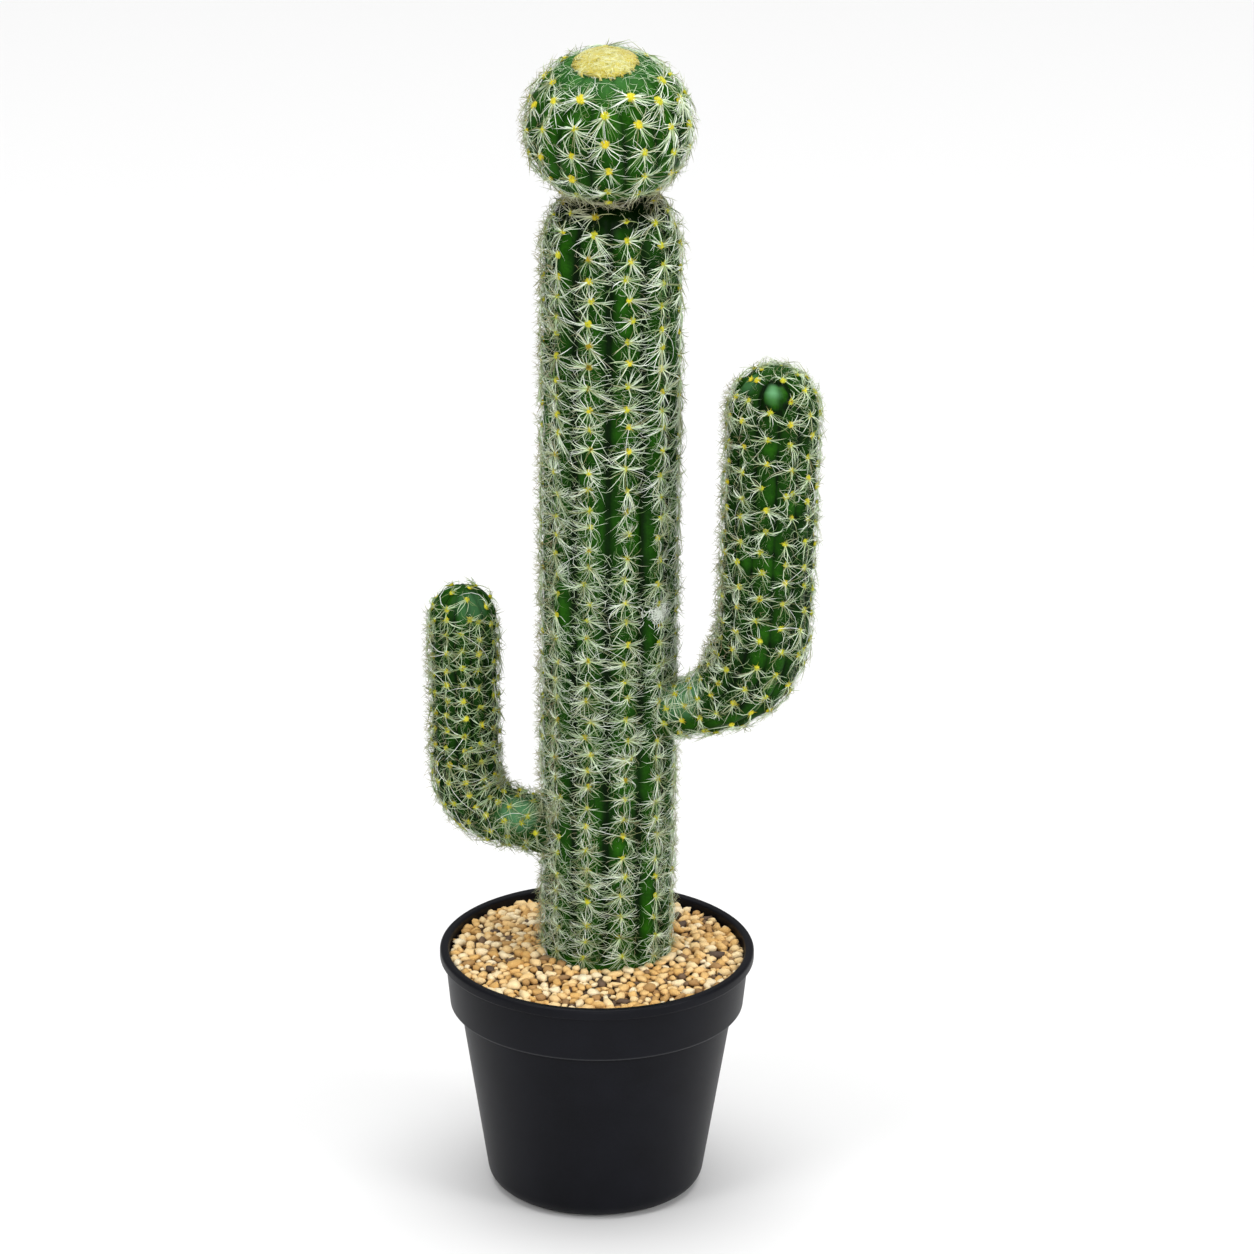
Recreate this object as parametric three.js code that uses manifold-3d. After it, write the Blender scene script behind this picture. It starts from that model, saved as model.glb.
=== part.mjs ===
// Potted old man cactus: a tall ribbed column with two upturned arms and a ball head that
// wears a yellow woolly crown. It stands in potting soil under a gravel dressing, in a
// round black nursery pot with a deep rim band. Millimetres, +Z up, origin at the centre
// of the pot's underside; the right arm is on +X and the front faces -Y.
import * as THREE from "three";
import { mergeVertices } from "three/addons/utils/BufferGeometryUtils.js";
import Module from "manifold-3d";

const wasm = await Module();
wasm.setup();
const { Manifold } = wasm;

// Driving dimensions of the pot.
const POT_HEIGHT = 121;
const RIM_RADIUS = 75;
const LIP_HEIGHT = 5.2;
const LIP_THICKNESS = 3.6;
const BAND_LOW = 92.5; // height of the rim band's lower edge
const BAND_RADIUS_LOW = 70;
const BAND_RADIUS_HIGH = 72.4;
const WALL = 2;
const WALL_SLOPE = 0.163; // how far the wall leans out for each millimetre of height
const WALL_RADIUS_AT_FLOOR = 50.2;
const BASE_FILLET = 9.5;
const FILLET_STEPS = 3;
const EDGE_ROUND = 1; // how far the rim's and the band's edges are broken
const FLOOR = 2.6;
const INNER_FILLET = 5.5;
const DRAIN_HOLES = 6;
const DRAIN_RADIUS = 4.5;
const DRAIN_CIRCLE = 27;
const DRAIN_SIDES = 12;
const POT_SIDES = 40;
const CUT_MARGIN = 1; // how far a cutting shape runs past the face that it opens
const LIP_LOW = POT_HEIGHT - LIP_HEIGHT;

// Driving dimensions of the filling.
const GAP = 0.3; // clearance between pieces that touch
const HOLE_ALLOWANCE = 0.1; // added to a faceted hole, whose flats lie inside its radius
const HOLE_SIDES = 44;
const SOIL_TOP = 106;
const GRAVEL_TOP = 116.2; // height of the gravel's hollows at the pot wall
const GRAVEL_MOUND = 2.6; // how much higher the gravel lies round the stem
const PEBBLE_PITCH = 10.4;
const PEBBLE_HEIGHT = 3;
const PEBBLE_LEAST_HEIGHT = 0.4; // the lowest stone, as a share of that height
const PEBBLE_TOP_LEAST = 0.5; // the raised top of a stone, as a share of its width
const PEBBLE_TOP_MOST = 0.7;
const PEBBLE_DRIFT = 0.42; // how far a stone's corner strays, as a share of the pitch
const PEBBLE_ROW = (PEBBLE_PITCH * Math.sqrt(3)) / 2;

// Driving dimensions of the plant.
const COLUMN_X = 4.8;
const COLUMN_Y = 4;
const COLUMN_RIBS = 11;
const COLUMN_FOOT = 60; // the buried end of the column
const COLUMN_RADIUS_LOW = 30;
const COLUMN_RADIUS_HIGH = 32;
const COLUMN_WIDEST = 420; // height where the column is widest
const COLUMN_SWELL_MOST = 1.3; // how far above that the swelling is still followed
const SHOULDER_START = 474;
const SHOULDER_TURNS = [0.45, 0.95]; // rings on the rounded shoulder, in radians
const COLUMN_TOP = 501;
const COLUMN_TOP_RADIUS = 15;
const COLUMN_RIB_DEPTH = 4;
const COLUMN_TOP_RIB_DEPTH = 1;
const COLUMN_TURN_DEG = -18.5; // the rib left of the middle, seen from the front
const RIBS_ABOVE_GRAVEL = 3; // height from the gravel's edge to where the ribs start
const AREOLE_PITCH = 11.3; // height between two rings of areoles
const AREOLE_SIZE = 1.3; // from its middle to a corner
const AREOLE_SHARE = 0.3; // and no more than this share of the way from valley to valley
const AREOLE_RISE = 0.85; // height of its middle, as a share of its size
const SPINE_LENGTH = 9;
const SPINE_LENGTH_SPREAD = 0.3; // between the shortest and the longest, as a share
const SPINE_START = 0.4; // from the areole's middle, as a share of its size
const SPINE_RISE_DEG = 30; // angle between a spine and the skin
const SPINE_RISE_SPREAD_DEG = 12;
const SPINE_SWING = 0.9; // how far a spine may turn aside, in radians from side to side
const SPINE_SHARE_ALONG = 0.45; // longest spine, as a share of two rows of areoles
const SPINE_SHARE_ACROSS = 0.72; // and as a share of the way from valley to valley
const SPINE_CLEARANCE = 1.5; // kept between a spine's reach and a neighbouring piece
const SHORTEST_SPINE = 3; // an areole with less room than this carries no spines

// An arm leaves the column straight, with a slight lean, and is carried up by one round
// bend to a nearly upright stretch with a round tip.
const RIGHT_ARM = {
  side: 1,
  forwardDeg: 20, // how far the arm swings to the front, seen from above
  socketHeight: 242.9,
  rootLeanDeg: 15.5,
  topLeanDeg: 88.4,
  straight: 22,
  bend: 54,
  upright: 105.6,
  rootRadius: 13.2,
  radius: 21.5,
  swellEnd: 66,
  ribs: 12,
  ribDepth: 2.4,
  seed: 41,
};
const LEFT_ARM = {
  side: -1,
  forwardDeg: -12,
  socketHeight: 175.9,
  rootLeanDeg: 12,
  topLeanDeg: 88.7,
  straight: 35,
  bend: 22.5,
  upright: 78,
  rootRadius: 13.2,
  radius: 15.9,
  swellEnd: 58,
  ribs: 12,
  ribDepth: 2,
  seed: 53,
};
const SOCKET_DEPTH = 17; // distance from the column's axis to the end of an arm's plug
const SOCKET_LENGTH = 40; // long enough to leave the column on the other side of its skin
const SOCKET_SIDES = 28;
const PLUG_LENGTH = 21; // the plain round stretch of an arm
const ARM_RIB_START = PLUG_LENGTH + 3;
const ARM_PHASE = 0.2; // turn of an arm's first rib, in radians
const RIB_FADE_FROM = -1; // the ribs grow out of a round foot between these rows
const ARM_RIB_FADE_TO = 2;
const COLUMN_RIB_FADE_TO = 1;
const TIP_TURN = 1.25; // how far an arm's round tip is carried before its small flat, radians

const HEAD_RADIUS = 38.6;
const HEAD_HALF_HEIGHT = 35.6;
const HEAD_SEAT_DROP = 1.9; // how much of the ball is cut away where it sits on the column
const HEAD_LEAN_DEG = 9; // how far its crown tips to the front
const HEAD_LEFT_DEG = 2.5; // and to the left
const HEAD_OFFSET = -2.2; // its middle lies a little left of the column's axis
const HEAD_RIBS = 14;
const HEAD_RIB_DEPTH = 2.4;
const HEAD_AREOLE_PITCH = 12.6;
const HEAD_FOOT_TURN = 0.22; // the ball's lowest ring, in radians from its foot
const CROWN_RADIUS = 15.4;
const CROWN_SEAT_MARGIN = 0.6; // how far its flat seat on the head runs past its edge
const CROWN_FOOT_INSET = 0.4;
const CROWN_FOOT_DEPTH = 0.2;
const CROWN_DEPTH_SHARE = 0.03; // depth of its hollows, as a share of a ring's radius
const CROWN_HEIGHT = 3.2;
const CROWN_TUFT = 3.2;
const CROWN_RINGS = 6;
const CROWN_RIBS = 10;
const CROWN_RING_TURN = 0.24; // from one ring of tufts to the next, in radians

const COLUMN_SEED = 11;
const HEAD_SEED = 23;
const CROWN_SEED = 31;
const GRAVEL_SEED = 7;
const MERGE_WITHIN = 1e-4; // corners closer than this are one corner

const columnAxis = new THREE.Vector3(COLUMN_X, COLUMN_Y, 0);
const headMiddle = new THREE.Vector3(
  COLUMN_X + HEAD_OFFSET,
  COLUMN_Y,
  COLUMN_TOP + GAP + HEAD_HALF_HEIGHT - HEAD_SEAT_DROP,
);

// Seeded random numbers, so that every build gives the same plant.
function seeded(seed) {
  let state = seed;
  return () => {
    state = (state * 1664525 + 1013904223) % 4294967296;
    return state / 4294967296;
  };
}

function solidOf(geometry) {
  const flat = geometry.index ? geometry.toNonIndexed() : geometry.clone();
  flat.deleteAttribute("normal");
  flat.deleteAttribute("uv");
  const merged = mergeVertices(flat, MERGE_WITHIN);
  return new Manifold(
    new wasm.Mesh({
      numProp: 3,
      vertProperties: merged.attributes.position.array,
      triVerts: new Uint32Array(merged.index.array),
    }),
  );
}

function geometryOf(solid) {
  const mesh = solid.getMesh();
  const geometry = new THREE.BufferGeometry();
  geometry.setAttribute("position", new THREE.BufferAttribute(mesh.vertProperties, 3));
  geometry.setIndex(new THREE.BufferAttribute(mesh.triVerts, 1));
  geometry.computeVertexNormals();
  return geometry;
}

// A turned shape about +Z, from a profile of [radius, height] pairs.
function turned(profile, sides) {
  const points = profile.map(([radius, height]) => new THREE.Vector2(radius, height));
  return new THREE.LatheGeometry(points, sides).rotateX(Math.PI / 2);
}

// An upright cylinder between two heights, with its axis at x, y.
function upright(radius, low, high, sides, x, y) {
  return new THREE.CylinderGeometry(radius, radius, high - low, sides)
    .rotateX(Math.PI / 2)
    .translate(x, y, (low + high) / 2);
}

// Radius of the pot's inner face at a height, below and above the step under the band.
function innerWall(height) {
  return WALL_RADIUS_AT_FLOOR - WALL + WALL_SLOPE * height;
}
function innerBand(height) {
  const share = (height - BAND_LOW) / (LIP_LOW - BAND_LOW);
  return THREE.MathUtils.lerp(BAND_RADIUS_LOW, BAND_RADIUS_HIGH, share) - WALL;
}

// The inner face of the pot as [radius, height] pairs, from a height in the band down to
// the middle of the floor. A clearance draws it in, for what fills the pot.
function innerProfile(high, clearance = 0) {
  const shelf = BAND_LOW + WALL;
  return [
    [innerBand(high) - clearance, high],
    [innerBand(shelf) - clearance, shelf + clearance],
    [innerWall(shelf) - clearance, shelf + clearance],
    [innerWall(FLOOR + INNER_FILLET) - clearance, FLOOR + INNER_FILLET + clearance / 2],
    [innerWall(FLOOR) - INNER_FILLET - clearance / 2, FLOOR + clearance],
    [0, FLOOR + clearance],
  ];
}

function potGeometry() {
  const outerWall = (height) => WALL_RADIUS_AT_FLOOR + WALL_SLOPE * height;
  const profile = [[0, 0]];
  const filletRadius = outerWall(BASE_FILLET) - BASE_FILLET;
  const wallLean = Math.atan(WALL_SLOPE);
  for (let i = 0; i <= FILLET_STEPS; i++) {
    const turn = (i / FILLET_STEPS) * (Math.PI / 2 - wallLean);
    const reach = BASE_FILLET * Math.sin(turn);
    profile.push([filletRadius + reach, BASE_FILLET * (1 - Math.cos(turn))]);
  }
  profile.push(
    [outerWall(BAND_LOW), BAND_LOW],
    [BAND_RADIUS_LOW - EDGE_ROUND, BAND_LOW],
    [BAND_RADIUS_LOW, BAND_LOW + EDGE_ROUND],
    [BAND_RADIUS_HIGH, LIP_LOW],
    [RIM_RADIUS, LIP_LOW + EDGE_ROUND],
    [RIM_RADIUS, POT_HEIGHT - EDGE_ROUND],
    [RIM_RADIUS - EDGE_ROUND, POT_HEIGHT],
    [RIM_RADIUS - LIP_THICKNESS + EDGE_ROUND, POT_HEIGHT],
    ...innerProfile(LIP_LOW + WALL),
  );
  let pot = solidOf(turned(profile, POT_SIDES));
  for (let i = 0; i < DRAIN_HOLES; i++) {
    const turn = ((i + 0.5) / DRAIN_HOLES) * 2 * Math.PI;
    const x = DRAIN_CIRCLE * Math.cos(turn);
    const y = DRAIN_CIRCLE * Math.sin(turn);
    const high = FLOOR + CUT_MARGIN;
    const hole = upright(DRAIN_RADIUS, -CUT_MARGIN, high, DRAIN_SIDES, x, y);
    pot = pot.subtract(solidOf(hole));
  }
  return geometryOf(pot);
}

// The plain hole that the column's buried foot stands in.
function footHole(low, high) {
  const radius = COLUMN_RADIUS_LOW + GAP + HOLE_ALLOWANCE;
  return solidOf(upright(radius, low, high, HOLE_SIDES, COLUMN_X, COLUMN_Y));
}

function soilGeometry() {
  const outline = innerProfile(SOIL_TOP, GAP).reverse();
  const soil = turned([...outline, [0, SOIL_TOP]], POT_SIDES);
  const hole = footHole(COLUMN_FOOT - GAP, SOIL_TOP + CUT_MARGIN);
  return geometryOf(solidOf(soil).subtract(hole));
}

// One stone of the dressing: a six-sided block between its shared corners, with a smaller
// raised top. The corners are shared with its neighbours, so the stones close up.
function pebble(corners, middle, low, top, topShare) {
  const vertices = [];
  const ring = (share, heightOf) =>
    corners.forEach((corner) => {
      const x = THREE.MathUtils.lerp(middle.x, corner.x, share);
      const y = THREE.MathUtils.lerp(middle.y, corner.y, share);
      vertices.push(x, y, heightOf(corner));
    });
  ring(1, () => low);
  ring(1, (corner) => corner.z);
  ring(topShare, () => top);
  const index = [];
  for (let i = 0; i < 6; i++) {
    const j = (i + 1) % 6;
    for (const step of [0, 6]) {
      index.push(step + i, step + j, step + 6 + j, step + i, step + 6 + j, step + 6 + i);
    }
  }
  for (let i = 1; i < 5; i++) {
    index.push(0, i + 1, i, 12, 12 + i, 12 + i + 1);
  }
  const geometry = new THREE.BufferGeometry();
  geometry.setAttribute("position", new THREE.Float32BufferAttribute(vertices, 3));
  geometry.setIndex(index);
  return geometry;
}

function gravelGeometry() {
  const random = seeded(GRAVEL_SEED);
  const low = SOIL_TOP + GAP;
  const shared = new Map();
  const mound = (x, y) => {
    const reach = (innerBand(GRAVEL_TOP) - Math.hypot(x, y)) / innerBand(GRAVEL_TOP);
    return GRAVEL_TOP + 2 * GRAVEL_MOUND * Math.max(0, reach);
  };
  const cornerAt = (x, y) => {
    const key = `${Math.round(x * 10)} ${Math.round(y * 10)}`;
    if (!shared.has(key)) {
      const drift = () => (random() - 0.5) * PEBBLE_DRIFT * PEBBLE_PITCH;
      const moved = new THREE.Vector3(x + drift(), y + drift(), mound(x, y));
      shared.set(key, moved);
    }
    return shared.get(key);
  };
  const stones = [];
  const rows = Math.ceil(RIM_RADIUS / PEBBLE_ROW);
  for (let row = -rows; row <= rows; row++) {
    for (let column = -rows; column <= rows; column++) {
      const x = PEBBLE_PITCH * (column + (row % 2) / 2);
      const y = PEBBLE_ROW * row;
      const fromStem = Math.hypot(x - COLUMN_X, y - COLUMN_Y);
      if (Math.hypot(x, y) > RIM_RADIUS || fromStem < COLUMN_RADIUS_LOW - PEBBLE_PITCH) {
        continue;
      }
      const corners = [];
      for (let i = 0; i < 6; i++) {
        const turn = ((i + 0.5) / 6) * 2 * Math.PI;
        const span = PEBBLE_PITCH / Math.sqrt(3);
        corners.push(cornerAt(x + span * Math.cos(turn), y + span * Math.sin(turn)));
      }
      const middle = new THREE.Vector3();
      corners.forEach((corner) => middle.addScaledVector(corner, 1 / 6));
      const rise = THREE.MathUtils.lerp(PEBBLE_LEAST_HEIGHT, 1, random());
      const top = mound(x, y) + PEBBLE_HEIGHT * rise;
      const topShare = THREE.MathUtils.lerp(PEBBLE_TOP_LEAST, PEBBLE_TOP_MOST, random());
      stones.push(solidOf(pebble(corners, middle, low, top, topShare)));
    }
  }
  const above = POT_HEIGHT + PEBBLE_PITCH;
  const inside = turned(
    [
      [0, low],
      [innerBand(low) - GAP, low],
      [innerBand(LIP_LOW) - GAP, LIP_LOW],
      [innerBand(LIP_LOW) - GAP, above],
      [0, above],
    ],
    POT_SIDES,
  );
  const bed = Manifold.union(stones).intersect(solidOf(inside));
  return geometryOf(bed.subtract(footHole(SOIL_TOP, above + GAP)));
}

// The four spines of one areole. Each is drawn out of a quarter of the areole, so it is
// rooted in the skin: its three sides replace that quarter's face.
function spines(areole, vertices, index, spineLength, random) {
  const { rim, middle, centre, normal, size, reach } = areole;
  for (let i = 0; i < 4; i++) {
    const a = rim[i];
    const b = rim[(i + 1) % 4];
    const pointA = new THREE.Vector3().fromArray(vertices, 3 * a);
    const pointB = new THREE.Vector3().fromArray(vertices, 3 * b);
    const outward = pointA.clone().add(pointB).multiplyScalar(0.5).sub(centre);
    outward.addScaledVector(normal, -outward.dot(normal)).normalize();
    outward.applyAxisAngle(normal, (random() - 0.5) * SPINE_SWING);
    const riseDeg = SPINE_RISE_DEG + (random() - 0.5) * SPINE_RISE_SPREAD_DEG;
    const rise = THREE.MathUtils.degToRad(riseDeg);
    const drawn = spineLength * (1 + (random() - 0.5) * SPINE_LENGTH_SPREAD);
    const length = Math.min(drawn, reach);
    const tip = centre
      .clone()
      .addScaledVector(outward, size * SPINE_START + length * Math.cos(rise))
      .addScaledVector(normal, length * Math.sin(rise));
    const t = vertices.length / 3;
    vertices.push(tip.x, tip.y, tip.z);
    index.push(a, b, t, b, middle, t, middle, a, t);
  }
}

// The skin of one stem, closed at both ends. Its rows are rings of rib crests and valleys;
// an areole with four spines replaces every other crest point from row firstSpiny up.
// rows: [{ radius, depth, at }], where at(radius, turn) is a point of that row's ring.
// room: how far a spine at a point may reach before it would touch another piece.
function ribbedSkin({ rows, ribs, phase, firstSpiny, lastSpiny, room, spineLength, seed }) {
  const random = seeded(seed);
  const vertices = [];
  const index = [];
  const point = (i) => new THREE.Vector3().fromArray(vertices, 3 * i);
  const add = (p) => {
    vertices.push(p.x, p.y, p.z);
    return vertices.length / 3 - 1;
  };
  rows.forEach(({ radius, depth, at }) => {
    for (let k = 0; k < ribs; k++) {
      add(at(radius, phase + (2 * Math.PI * k) / ribs));
      add(at(radius - depth, phase + (2 * Math.PI * (k + 0.5)) / ribs));
    }
  });
  const crest = (k, j) => j * 2 * ribs + 2 * ((k + ribs) % ribs);
  const valley = (k, j) => crest(k, j) + 1;
  const spiny = (k, j) =>
    j >= firstSpiny &&
    j <= lastSpiny &&
    (k + j) % 2 === 0 &&
    room(point(crest(k, j))) > SHORTEST_SPINE;

  for (let k = 0; k < ribs; k++) {
    for (let j = 0; j < rows.length - 1; j++) {
      if (spiny(k, j) || spiny(k, j + 1)) {
        continue;
      }
      for (const [left, right] of [
        [valley(k - 1, j), crest(k, j)],
        [crest(k, j), valley(k, j)],
      ]) {
        const up = 2 * ribs;
        index.push(left, right, right + up, left, right + up, left + up);
      }
    }
  }

  for (let k = 0; k < ribs; k++) {
    for (let j = firstSpiny; j <= lastSpiny; j++) {
      if (!spiny(k, j)) {
        continue;
      }
      const round = [
        crest(k, j - 1),
        valley(k, j - 1),
        valley(k, j),
        valley(k, j + 1),
        crest(k, j + 1),
        valley(k - 1, j + 1),
        valley(k - 1, j),
        valley(k - 1, j - 1),
      ];
      const seat = point(crest(k, j));
      const along = point(round[4]).sub(point(round[0]));
      const across = point(round[2]).sub(point(round[6]));
      const normal = across.clone().cross(along).normalize();
      const size = Math.min(AREOLE_SIZE, AREOLE_SHARE * across.length());
      const reach = Math.min(
        SPINE_SHARE_ALONG * along.length(),
        SPINE_SHARE_ACROSS * across.length(),
        room(seat),
      );
      const rim = [0, 2, 4, 6].map((i) => {
        const away = point(round[i]).sub(seat).normalize();
        return add(seat.clone().addScaledVector(away, size));
      });
      for (let i = 0; i < 4; i++) {
        const [r0, r1, r2] = [round[2 * i], round[2 * i + 1], round[(2 * i + 2) % 8]];
        const next = rim[(i + 1) % 4];
        index.push(r0, r1, rim[i], r1, next, rim[i], r1, r2, next);
      }
      const middle = add(seat.clone().addScaledVector(normal, AREOLE_RISE * size));
      const areole = { rim, middle, centre: point(middle), normal, size, reach };
      spines(areole, vertices, index, spineLength, random);
    }
  }

  const last = rows.length - 1;
  const foot = add(rows[0].at(0, 0));
  const top = add(rows[last].at(0, 0));
  for (let i = 0; i < 2 * ribs; i++) {
    const j = (i + 1) % (2 * ribs);
    index.push(foot, j, i, top, last * 2 * ribs + i, last * 2 * ribs + j);
  }
  const geometry = new THREE.BufferGeometry();
  geometry.setAttribute("position", new THREE.Float32BufferAttribute(vertices, 3));
  geometry.setIndex(index);
  return geometry;
}

// Rings about a straight upright axis through x, y.
function uprightRing(x, y, height) {
  return (radius, turn) =>
    new THREE.Vector3(x + radius * Math.cos(turn), y + radius * Math.sin(turn), height);
}

// Length of an arm's bend along its middle.
function bendLength(arm) {
  return arm.bend * THREE.MathUtils.degToRad(arm.topLeanDeg - arm.rootLeanDeg);
}

// The axis of an arm: straight out of the column, one round bend, then nearly upright.
// It gives the middle and direction of the arm at a distance from its plugged end.
function armAxis(arm, distance) {
  const lean = THREE.MathUtils.degToRad(arm.rootLeanDeg);
  const swing = THREE.MathUtils.degToRad(arm.forwardDeg);
  const out = new THREE.Vector3(arm.side * Math.cos(swing), -Math.sin(swing), 0);
  const up = new THREE.Vector3(0, 0, 1);
  const straight = Math.min(distance, arm.straight);
  const bent = THREE.MathUtils.clamp(distance - arm.straight, 0, bendLength(arm));
  const rising = Math.max(0, distance - arm.straight - bendLength(arm));
  const angle = lean + bent / arm.bend;
  const reach =
    SOCKET_DEPTH +
    straight * Math.cos(lean) +
    arm.bend * (Math.sin(angle) - Math.sin(lean)) +
    rising * Math.cos(angle);
  const height =
    arm.socketHeight +
    straight * Math.sin(lean) +
    arm.bend * (Math.cos(lean) - Math.cos(angle)) +
    rising * Math.sin(angle);
  const direction = out.clone().multiplyScalar(Math.cos(angle));
  direction.addScaledVector(up, Math.sin(angle));
  const middle = columnAxis.clone().addScaledVector(out, reach);
  return { middle: middle.addScaledVector(up, height), direction, out };
}

function armRing(arm, distance) {
  const { middle, direction, out } = armAxis(arm, distance);
  const sideways = direction.clone().cross(out).normalize();
  const inPlane = sideways.clone().cross(direction).normalize();
  return (radius, turn) =>
    middle
      .clone()
      .addScaledVector(inPlane, radius * Math.cos(turn))
      .addScaledVector(sideways, radius * Math.sin(turn));
}

function armGeometry(arm) {
  const length = arm.straight + bendLength(arm) + arm.upright;
  const swell = (distance) =>
    THREE.MathUtils.lerp(
      arm.rootRadius,
      arm.radius,
      THREE.MathUtils.smoothstep(distance, PLUG_LENGTH, arm.swellEnd),
    );
  const rows = [
    { radius: arm.rootRadius, depth: 0, at: armRing(arm, 0) },
    { radius: arm.rootRadius, depth: 0, at: armRing(arm, PLUG_LENGTH) },
  ];
  const steps = Math.round((length - ARM_RIB_START) / AREOLE_PITCH);
  for (let i = 0; i < steps; i++) {
    const distance = ARM_RIB_START + (i * (length - ARM_RIB_START)) / steps;
    const radius = swell(distance);
    const fade = THREE.MathUtils.smoothstep(i, RIB_FADE_FROM, ARM_RIB_FADE_TO);
    const depth = arm.ribDepth * fade;
    rows.push({ radius, depth, at: armRing(arm, distance) });
  }
  const tipSteps = Math.max(2, Math.round((arm.radius * TIP_TURN) / AREOLE_PITCH));
  for (let i = 0; i <= tipSteps; i++) {
    const turn = (i / tipSteps) * TIP_TURN;
    const radius = arm.radius * Math.cos(turn);
    const at = armRing(arm, length + arm.radius * Math.sin(turn));
    rows.push({ radius, depth: (arm.ribDepth * radius) / arm.radius, at });
  }
  const fromColumn = (p) => Math.hypot(p.x - COLUMN_X, p.y - COLUMN_Y) - COLUMN_RADIUS_HIGH;
  return ribbedSkin({
    rows,
    ribs: arm.ribs,
    phase: ARM_PHASE,
    firstSpiny: 2,
    lastSpiny: rows.length - 2,
    room: (p) => fromColumn(p) - SPINE_CLEARANCE,
    spineLength: SPINE_LENGTH,
    seed: arm.seed,
  });
}

// The plain round socket in the column that an arm's plug is seated in.
function armSocket(arm) {
  const { middle, direction } = armAxis(arm, 0);
  const from = middle.clone().addScaledVector(direction, -GAP);
  const radius = arm.rootRadius + GAP + HOLE_ALLOWANCE;
  const socket = new THREE.CylinderGeometry(radius, radius, SOCKET_LENGTH, SOCKET_SIDES);
  socket.translate(0, SOCKET_LENGTH / 2, 0);
  const along = new THREE.Vector3(0, 1, 0);
  const turn = new THREE.Quaternion().setFromUnitVectors(along, direction);
  return solidOf(socket.applyQuaternion(turn).translate(from.x, from.y, from.z));
}

// The column swells slowly to its widest height and draws in again above it.
function columnRadius(height) {
  const share = (height - SOIL_TOP) / (COLUMN_WIDEST - SOIL_TOP);
  const swell = Math.sin((Math.PI / 2) * THREE.MathUtils.clamp(share, 0, COLUMN_SWELL_MOST));
  return THREE.MathUtils.lerp(COLUMN_RADIUS_LOW, COLUMN_RADIUS_HIGH, swell);
}

// How far a point of the column's skin is from the nearest piece beside it: the gravel,
// the head or the root of an arm.
function columnRoom(p) {
  const rooms = [
    p.z - GRAVEL_TOP - GRAVEL_MOUND - PEBBLE_HEIGHT,
    p.distanceTo(headMiddle) - HEAD_RADIUS,
  ];
  for (const arm of [RIGHT_ARM, LEFT_ARM]) {
    const { middle, direction } = armAxis(arm, 0);
    const away = p.clone().sub(middle);
    const along = away.dot(direction);
    if (along > 0) {
      rooms.push(away.addScaledVector(direction, -along).length() - arm.rootRadius);
    }
  }
  return Math.min(...rooms);
}

function columnGeometry() {
  const ribStart = GRAVEL_TOP + RIBS_ABOVE_GRAVEL;
  const ring = (height) => uprightRing(COLUMN_X, COLUMN_Y, height);
  const rows = [
    { radius: COLUMN_RADIUS_LOW, depth: 0, at: ring(COLUMN_FOOT) },
    { radius: COLUMN_RADIUS_LOW, depth: 0, at: ring(GRAVEL_TOP - EDGE_ROUND) },
  ];
  const steps = Math.round((SHOULDER_START - ribStart) / AREOLE_PITCH);
  for (let i = 0; i <= steps; i++) {
    const height = ribStart + (i * (SHOULDER_START - ribStart)) / steps;
    const fade = THREE.MathUtils.smoothstep(i, RIB_FADE_FROM, COLUMN_RIB_FADE_TO);
    const depth = COLUMN_RIB_DEPTH * fade;
    rows.push({ radius: columnRadius(height), depth, at: ring(height) });
  }
  const shoulder = columnRadius(SHOULDER_START);
  for (const turn of SHOULDER_TURNS) {
    const radius = COLUMN_TOP_RADIUS + (shoulder - COLUMN_TOP_RADIUS) * Math.cos(turn);
    const height = SHOULDER_START + (COLUMN_TOP - SHOULDER_START) * Math.sin(turn);
    const depth = (COLUMN_RIB_DEPTH * radius) / shoulder;
    rows.push({ radius, depth, at: ring(height) });
  }
  const top = { radius: COLUMN_TOP_RADIUS, depth: COLUMN_TOP_RIB_DEPTH, at: ring(COLUMN_TOP) };
  rows.push(top);
  const skin = ribbedSkin({
    rows,
    ribs: COLUMN_RIBS,
    phase: THREE.MathUtils.degToRad(COLUMN_TURN_DEG) - Math.PI / 2,
    firstSpiny: 3,
    lastSpiny: rows.length - 2,
    room: (p) => columnRoom(p) - SPINE_CLEARANCE,
    spineLength: SPINE_LENGTH,
    seed: COLUMN_SEED,
  });
  let column = solidOf(skin);
  for (const arm of [RIGHT_ARM, LEFT_ARM]) {
    column = column.subtract(armSocket(arm));
  }
  return geometryOf(column);
}

// Puts a shape that is made about the head's own middle in place on the column.
function onHead(geometry) {
  return geometry
    .rotateY(THREE.MathUtils.degToRad(-HEAD_LEFT_DEG))
    .rotateX(THREE.MathUtils.degToRad(HEAD_LEAN_DEG))
    .translate(headMiddle.x, headMiddle.y, headMiddle.z);
}

// Height of the flat on the head that the crown is seated on, above the head's middle.
function crownSeat() {
  const share = (CROWN_RADIUS + CROWN_SEAT_MARGIN) / HEAD_RADIUS;
  return HEAD_HALF_HEIGHT * Math.sqrt(1 - share * share);
}

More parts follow.
